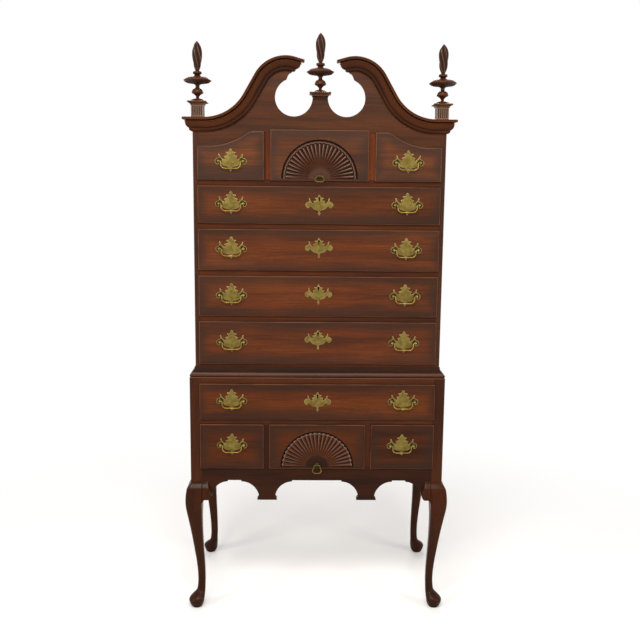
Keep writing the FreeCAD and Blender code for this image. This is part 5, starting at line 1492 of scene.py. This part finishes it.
# %% [markdown]
# ## Drawer fronts
# A front is one board: a flat field, a small step, and a quarter-round lip that covers the case's
# edge. Behind it is the block that enters the opening. The field is filled with a grid of points,
# and each carries its distance from the edge ("inset"), so that the finish can darken toward the
# edge as an old polish does. A keyhole is a blind hole, and a fan lies in a half-round pocket. Every
# front is cut from a different board, so each has its own finish.

# %% Drawer fronts
# The front's edge, from its back to its field: how far in, and how far in front of the case.
LIP_ROUND = [(5.6 - 5.2 * math.cos(t), 4.0 + 4.7 * math.sin(t)) for t in np.linspace(0, math.pi / 2, 7)]
FRONT_ROWS = [(7.0, -BLOCK), (7.0, 0.3), (0.4, 0.3), (0.0, 0.7), (0.0, 3.4), *LIP_ROUND, (5.75, 8.75),
              (5.9, 9.2), (6.3, PROUD)]
KEY_DROP = 31.0  # an escutcheon's tip lies this far under the drawer's upper edge
KEYHOLE_DEEP, POCKET_DEEP = 14.0, 8.0


def keyhole_loop(tip, r=3.7, half=2.1):
    """Keyhole outline about x 0: a round top and a slot with a round foot."""
    top_z, low_z = tip - 12.0, tip - 22.5
    side = math.asin(half / r)
    ring = [(r * math.sin(a), top_z - r * math.cos(a)) for a in np.linspace(side, 2 * math.pi - side, 22)]
    foot = [(-half * math.cos(a), low_z - half * math.sin(a)) for a in np.linspace(0, math.pi, 9)]
    return ring + foot


def fan_loop(d):
    """The half round of a drawer's fan, with ten points to a rib."""
    middle = (0.0, d.z0 + FAN_RISE)
    return [polar(middle, FAN_R, a) for a in np.linspace(0, 180, fans[d.name].ribs * 10 + 1)]


def drawer_front(d):
    shape = Shape()
    rows, insets, dirt = [], [], []
    for inset, proud in FRONT_ROWS:
        loop = face_loop(d, inset)
        rows.append([(x, d.front - proud, z) for x, z in loop])
        insets += [inset * MM if proud > 0.5 else 0.03] * len(loop)
        # The lip's outermost two millimetres are painted dark: a painted shadow line round the drawer.
        dirt += [1 - smooth(inset, 0.5, 2.2) if proud > 0.5 else 0.0] * len(loop)
    skin(shape, rows, caps=(True, False), inset=insets, dish=dirt)
    face_y, rim = d.front - PROUD, FRONT_ROWS[-1][0]
    field = face_loop(d, rim)
    holes = []
    # Inside a keyhole the walls are painted dark as its shade, and a fan pocket's walls a little.
    if d.keyed:
        holes.append((keyhole_loop(d.z1 - KEY_DROP, 4.2, 2.6), KEYHOLE_DEEP, 1.0))
    if d.pull:
        holes.append((fan_loop(d), POCKET_DEEP, 0.2))
    points, faces = filled(field, [hole for hole, _, _ in holes], 12.0)
    shape.add([(x, face_y, z) for x, z in points], faces, inset=(distance(points, [field]) + rim) * MM)
    for hole, deep, grime in holes:
        skin(shape, [[(x, y, z) for x, z in hole] for y in (face_y, face_y + deep)], caps=(False, True),
             dish=[grime] * (2 * len(hole)))
    return shape.mirrored() if d.left else shape


shines = {"top": 0.18, "upper": 0.12, "lower": 0.08}
for d in drawers:
    polish = mahogany("wood_" + d.name, "x", d.tone, d.seed, d.warm, grime=0.80, wear=0.75, reach=0.058,
                      gloss=0.36, shine=shines[d.name.split("_")[0]], dirt=0.92)
    piece("front_" + d.name, drawer_front(d), [polish], "drawer_" + d.name, marks=("inset", "dish"),
          sharp=24.0)
    if d.pull:
        carved = mahogany("carving_" + d.name, "x", fans[d.name].tone, d.seed + 3, 1.1, gloss=0.30, dirt=0.97,
                          shine=0.08, plain=0.6)
        dressed("fan_" + d.name, fan_mesh(d), [carved], "drawer_" + d.name, (), sharp=50.0)
print("drawer fronts:", len(drawers))

# %% [markdown]
# ## Drawer boxes
# Sides, back and bottom are pale secondary wood, left unpolished and dry. The sides join the front
# with half-blind dovetails. Geometry Nodes lays a row of tails up each end of the front's block.

# %% Drawer boxes
BOX_THICK, BOX_BACK, TAIL_LONG = 12.0, 253.0, 11.0
tail_tree, given = geometry_tree("row_of_tails", [("Tail", "Object", None), *ROW_INPUTS])
set_out(tail_tree, given, row_points(tail_tree, given), object_in(tail_tree, given["Tail"]))


def box_shape(d, x0, x1, y0, y1, z0, z1):
    """Two sides, a bottom let into them, and a lower back of the second finish."""
    shape = Shape()
    for start in (x0, x1 - BOX_THICK):
        side_path = [(y0, z0), (y1, z0), (y1, z1 - 4.0), (y1 - 4.0, z1), (y0, z1)]
        board(shape, side_path, "x", start, start + BOX_THICK)
    slab(shape, x0 + BOX_THICK, x1 - BOX_THICK, y0, y1, z0 + 10.0, z0 + 17.0)
    slab(shape, x0 + BOX_THICK, x1 - BOX_THICK, y1 - BOX_THICK, y1, z0 + 17.0, z1 - 6.0, slot=1)
    return shape.mirrored() if d.left else shape


for d in drawers:
    body, y0 = "drawer_" + d.name, d.front + BLOCK
    z0, z1 = d.z0 + LIP + 0.3, (d.scroll or d.z1) - LIP - 8.0
    pine = pine_y if d.seed < 20 else lining("pine_" + d.name, "y", d.seed, 0.95)
    box = box_shape(d, d.x0 + 7.5, d.x1 - 7.5, y0, BOX_BACK, z0, z1)
    piece("box_" + d.name, box, [pine, pine_x], body, [body], bevel=0.8, weld=False)
    count = max(3, round((z1 - z0) / 34.0))
    pitch = (z1 - z0) / count
    wide, narrow = pitch * 0.40, pitch * 0.27
    tail_path = [(-TAIL_LONG, -wide), (0.0, -narrow), (0.0, narrow), (-TAIL_LONG, wide)]
    tail = piece("tail_" + d.name, board(Shape(), tail_path, "x", -0.15, 0.12), [pine])
    for label, x in (("inner", d.x0 + 7.0), ("outer", d.x1 - 7.0)):
        start = Vector((-x if d.left else x, y0, z0 + pitch / 2)) * MM
        mesh = grown("tails", tail_tree, [(0, 0, 0)], Tail=tail, Count=count, Start=start,
                     Step=Vector((0, 0, pitch)) * MM, Material=pine)
        dressed("dovetails_%s_%s" % (d.name, label), mesh, [pine], body, ())
    bpy.data.objects.remove(tail)
print("drawer boxes:", len(drawers))

# %% [markdown]
# ## Brass plates
# The plates are cast and filed: scrolled ears, a bat-wing body and a soft chamfer all round. Their
# front is a fine relief. Each corner of the mesh knows its distance from the outline ("edge", in
# millimetres) and how far it lies in a dish round a post ("dish"), so the finish can draw the worn
# border, its engraved lines and the dirt. Each plate's mesh is worked out once and then set down
# wherever it is needed.

# %% Plates
PLATE = 1.6
handle_half = [
    (0, 0, 0.22), (5.5, -7, -0.20), (16, -12, 0.45), (15, -18, -0.45), (16.5, -24.5, 0.08),
    (23, -27, 0.45), (22.5, -32, -0.45), (26, -37.5, -0.12), (40, -20, 0.45), (45, -22, -0.25),
    (48, -34, 0.39), (50, -57, 0.30), (43, -54, -0.45), (36.5, -49.5, 0.14), (17, -64, -0.08),
    (4, -69, -0.20), (4.5, -75, 0.08)]
escutcheon_half = [
    (0, 0, 0.20), (4, -5, -0.20), (14, -10.5, 0.45), (13.5, -15, -0.45), (14.5, -21, 0.08),
    (20, -22, 0.45), (19.5, -26.5, -0.45), (23.5, -31, -0.12), (34, -14.5, 0.45), (38.5, -16, -0.25),
    (41, -26, 0.39), (44, -47.5, 0.25), (37, -47, -0.40), (28, -45.5, 0.12), (12, -55.5, -0.10),
    (3, -60, -0.20), (5, -67, 0.08)]


def plate_loop(half, tail, rise):
    """Outline of a plate: its right half from the tip down, the tail's point, and the left half."""
    whole, middle = with_left_half(half), len(half)
    path = traced(whole[:middle] + [(0.0, -tail, half[-1][2])] + whole[middle:-1], step=12.0)
    return [(x, z + rise) for x, z in path]


def plate_relief(edge, dish):
    """How far the plate's front lies back, from the distance to its outline and the dish round a post."""
    line = np.exp(-((edge - 2.6) / 0.45) ** 2) * (1 - dish)
    deep = 0.75 * (1 - np.sqrt(np.clip(1 - (1 - np.clip(edge / 1.3, 0, 1)) ** 2, 0, 1)))
    return deep + 0.75 * dish + 0.22 * line - 0.25 * smooth(edge, 5.0, 14.0) * (1 - dish) + 0.25


def plate_template(loop, ears=(), hole=None):
    """One plate about its posts' axis, or its tip: a Shape with its front at y 0, going back to PLATE."""
    holes = [hole] if hole else []
    points, faces = filled(loop, holes, 1.25, keep=0.35)
    edge = distance(points, [loop])
    dish = np.zeros(len(points))
    if ears:
        near_ear = np.min([np.linalg.norm(points - np.array(ear), axis=1) for ear in ears], axis=0)
        dish = (1 - smooth(near_ear, 10.0, 15.0)) * smooth(edge, 1.9, 3.0)
    fronts = plate_relief(edge, dish)
    shape = Shape().add([(x, y, z) for (x, z), y in zip(points, fronts)], faces, edge=edge, dish=dish)
    skin(shape, [[(x, y, z) for x, z in loop] for y in (1.0, PLATE)], edge=[0.0] * (2 * len(loop)))
    behind, faces = filled(loop, holes, 40.0)
    shape.add([(x, PLATE, z) for x, z in behind], faces)
    if hole:
        lips = plate_relief(distance(np.array(hole), [loop]), 0.0)
        skin(shape, [[(x, y, z) for (x, z), y in zip(hole, ys)] for ys in (lips, [PLATE] * len(hole))],
             edge=[0.0] * (2 * len(hole)))
    return shape


def placed(shape, template, x, y, z):
    marks = {label: template.marks[label] for label in ("edge", "dish")}
    return shape.add([(x + a, y + b, z + c) for a, b, c in template.verts], template.faces, **marks)


POST = 44.45  # half the way between a bail's two posts
handle_plate = plate_template(plate_loop(handle_half, 83.0, 45.0), [(-POST, 0.0), (POST, 0.0)])
escutcheon_plate = plate_template(plate_loop(escutcheon_half, 76.5, 0.0), hole=keyhole_loop(0.0))
print("plate corners:", len(handle_plate.verts), len(escutcheon_plate.verts))

# %% [markdown]
# ## Posts, nuts, pins and bails
# Each post is turned: a flange on the plate, a waist, and a ball that holds the bail's pin. Its
# shank passes through the front to a nut inside. A bail is a rod bent hot round a former, filed
# thicker at the middle of its arms and bar, with a knop between two small rings.

# %% Posts and fan-drawer pulls
BAIL_OUT, PULL_RISE = 10.0, 18.0  # a bail's axis before the face, and a small pull's over the lower edge
ball = [(4.8 * math.sin(t), BAIL_OUT + 4.8 * math.cos(t)) for t in np.linspace(math.pi - 0.62, 0.02, 15)]
# Turned profiles: (radius, along); a post's and a rose's run forward from the face, so along falls.
POST_TURNED = [(r, -along) for r, along in ((5.0, 1.6), (5.5, 2.0), (5.5, 2.7), (5.0, 3.2), (3.4, 3.5),
                                            (2.9, 4.2), *ball)]
NUT = [(4.6, 0.0), (5.0, 0.4), (5.0, 3.1), (4.6, 3.5)]
SHANK_END = [(2.0, 3.4), (2.0, 5.1), (1.6, 5.5)]
PIN = [(1.5, 0.6), *((1.5 * math.cos(t), -1.25 * math.sin(t)) for t in np.linspace(0, math.pi / 2 - 0.05, 6))]
ROSE = [(7.5, 0.0), (7.5, -0.7), (6.8, -1.3), (5.6, -1.4), (5.2, -2.0), (4.2, -2.2), (3.2, -3.0), (2.6, -5.0),
        (2.6, -7.5)]
BARREL = [(3.4, -6.0), (4.0, -5.4), (4.0, -1.6), (4.5, -1.2), (4.5, 1.2), (4.0, 1.6), (4.0, 5.4), (3.4, 6.0)]


def handle_height(d):
    rise = 3.6 if len(d.handles) > 1 else 6.5
    return (d.z0 + (d.scroll or d.z1)) / 2.0 + rise


def brasses(d):
    """A drawer's plates, posts, nuts and pins. Plates have slot 0, turned brass 1 and small pulls 2."""
    shape = Shape()
    face_y, nut_y, z = d.front - PROUD, d.front + BLOCK, handle_height(d)
    for x in d.handles:
        placed(shape, handle_plate, x, face_y - PLATE, z)
        for post_x in (x - POST, x + POST):
            turning(shape, POST_TURNED, (post_x, face_y, z), "y", 28, 1)
            turning(shape, NUT, (post_x, nut_y, z), "y", 6, 1)
            turning(shape, SHANK_END, (post_x, nut_y, z), "y", 16, 1)
    if d.keyed:
        tip = d.z1 - KEY_DROP
        placed(shape, escutcheon_plate, 0.0, face_y - PLATE, tip)
        for x, below in ((0, -50), (-33, -35), (33, -35)):
            turning(shape, PIN, (x, face_y - PLATE, tip + below), "y", 14, 1)
    if d.pull:
        turning(shape, ROSE, (0.0, face_y, d.z0 + PULL_RISE), "y", 28, 2)
        turning(shape, BARREL, (0.0, face_y - BAIL_OUT, d.z0 + PULL_RISE), "x", 24, 2)
    return shape


brass_looks = [brass_plate_finish, brass_round, brass_rose]
for d in drawers:
    piece("cast_brasses_" + d.name, brasses(d), brass_looks, "drawer_" + d.name, ["brasses_" + d.name],
          sharp=34.0, marks=("edge", "dish"))
print("brasses set on", len(drawers), "drawers")

# %% Bails


def rod(shape, path, radii, sides=20):
    """A round rod along a path in the X-Z plane, whose thickness may change."""
    path = [np.array(p, float) for p in path]
    rows = []
    for i, place in enumerate(path):
        ahead = path[min(i + 1, len(path) - 1)] - path[max(i - 1, 0)]
        ahead /= np.linalg.norm(ahead)
        aside = np.array([ahead[2], 0.0, -ahead[0]])
        rows.append([tuple(place + radii[i] * (math.cos(a) * aside + math.sin(a) * np.array([0.0, 1.0, 0.0])))
                     for a in np.linspace(0, 2 * math.pi, sides, endpoint=False)])
    return skin(shape, rows, caps=(True, True))


def rounded(corners, radius):
    """A path of (x, z) corners with each inner corner rounded, as points."""
    path = [corners[0]]
    for before, corner, after in zip(corners, corners[1:], corners[2:]):
        before, corner, after = (np.array(p, float) for p in (before, corner, after))
        a, b = ((p - corner) / np.linalg.norm(p - corner) for p in (before, after))
        for t in np.linspace(0, 1, 8):
            path.append(tuple(corner + radius * (a * (1 - t) ** 2 + b * t ** 2)))
    return path + [corners[-1]]


def bail_radius(a, share):
    """A bail's thickness, a to one side of its middle and a share of the way down its arms."""
    if a > 38.5:
        return 1.45
    if share < 0.9996:
        return 1.95 + 0.35 * math.sin(math.pi * share)
    if a > 9.5:
        return 2.05
    if a > 8.0:
        return 2.75
    return 2.05 + 1.15 * math.sqrt(max(0.0, 1 - (a / 7.2) ** 2))


def bail_shape(x, y, z):
    """A large bail: pins, short bends down, arms, round corners and the bar, as (aside, up) points."""
    half, drop, corner, bend = 35.5, 26.0, 15.0, 2.9
    right = [(45.1, 0.0), (42.0, 0.0), (39.6, 0.0), (38.4, 0.0)]
    right += [(half + bend - bend * math.sin(t), -bend + bend * math.cos(t))
              for t in np.linspace(0.3, math.pi / 2, 5)]
    right += [(half, -bend - share * (drop - corner - bend)) for share in (0.25, 0.5, 0.75)]
    right += [(half - corner + corner * math.cos(t), -(drop - corner) - corner * math.sin(t))
              for t in np.linspace(0, math.pi / 2, 12)]
    right += [(a, -drop) for a in (17, 13, 9.6, 9.2, 8.6, 8.2, 7.0, 6.0, 5.0, 4.0, 3.0, 2.0, 1.0, 0.0)]
    path = right + [(-a, b) for a, b in reversed(right[:-1])]
    radii = [bail_radius(abs(a), -b / drop) for a, b in path]
    return rod(Shape(), [(x + a, y, z + b) for a, b in path], radii)


def drop_shape(y, z, drop):
    """A small pull's bail: a tapering drop with a flat foot, its ends in the barrel."""
    corners = [(6.4, 0.0), (10.0, 0.0), (12.4, -0.32 * drop), (17.5, -0.70 * drop), (10.85, -drop)]
    inner = rounded(corners + [(-a, b) for a, b in reversed(corners)], 2.4)
    path = [(3.5, 0.0), (6.0, 0.0)] + inner + [(-6.0, 0.0), (-3.5, 0.0)]
    radii = [1.15, 1.15] + [1.6 + (0.45 if abs(a) < 8 and b < -5 else 0.0) for a, b in inner] + [1.15, 1.15]
    return rod(Shape(), [(a, y, z + b) for a, b in path], radii)


def hang(name, shape, finish):
    piece(name + "_bent", shape, [finish], name, [name], sharp=40.0)


for d in drawers:
    y = d.front - PROUD - BAIL_OUT
    for x in d.handles:
        end = ("_left" if x < 0 else "_right") if len(d.handles) > 1 else ""
        hang("bail_" + d.name + end, bail_shape(x, y, handle_height(d)), brass_round)
    if d.pull:
        hang("bail_" + d.name, drop_shape(y, d.z0 + PULL_RISE, d.pull), brass_small)

# %% [markdown]
# ## Sizes, and the end
# The CAD model's box and the dressed model's box are both worked out here. The dressed model
# has to keep to the CAD model's box.

# %% Sizes


def plain(bounds):
    return [[float(v) for v in corner] for corner in bounds]


{"cad": plain(cad_box), "dressed": plain(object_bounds())}
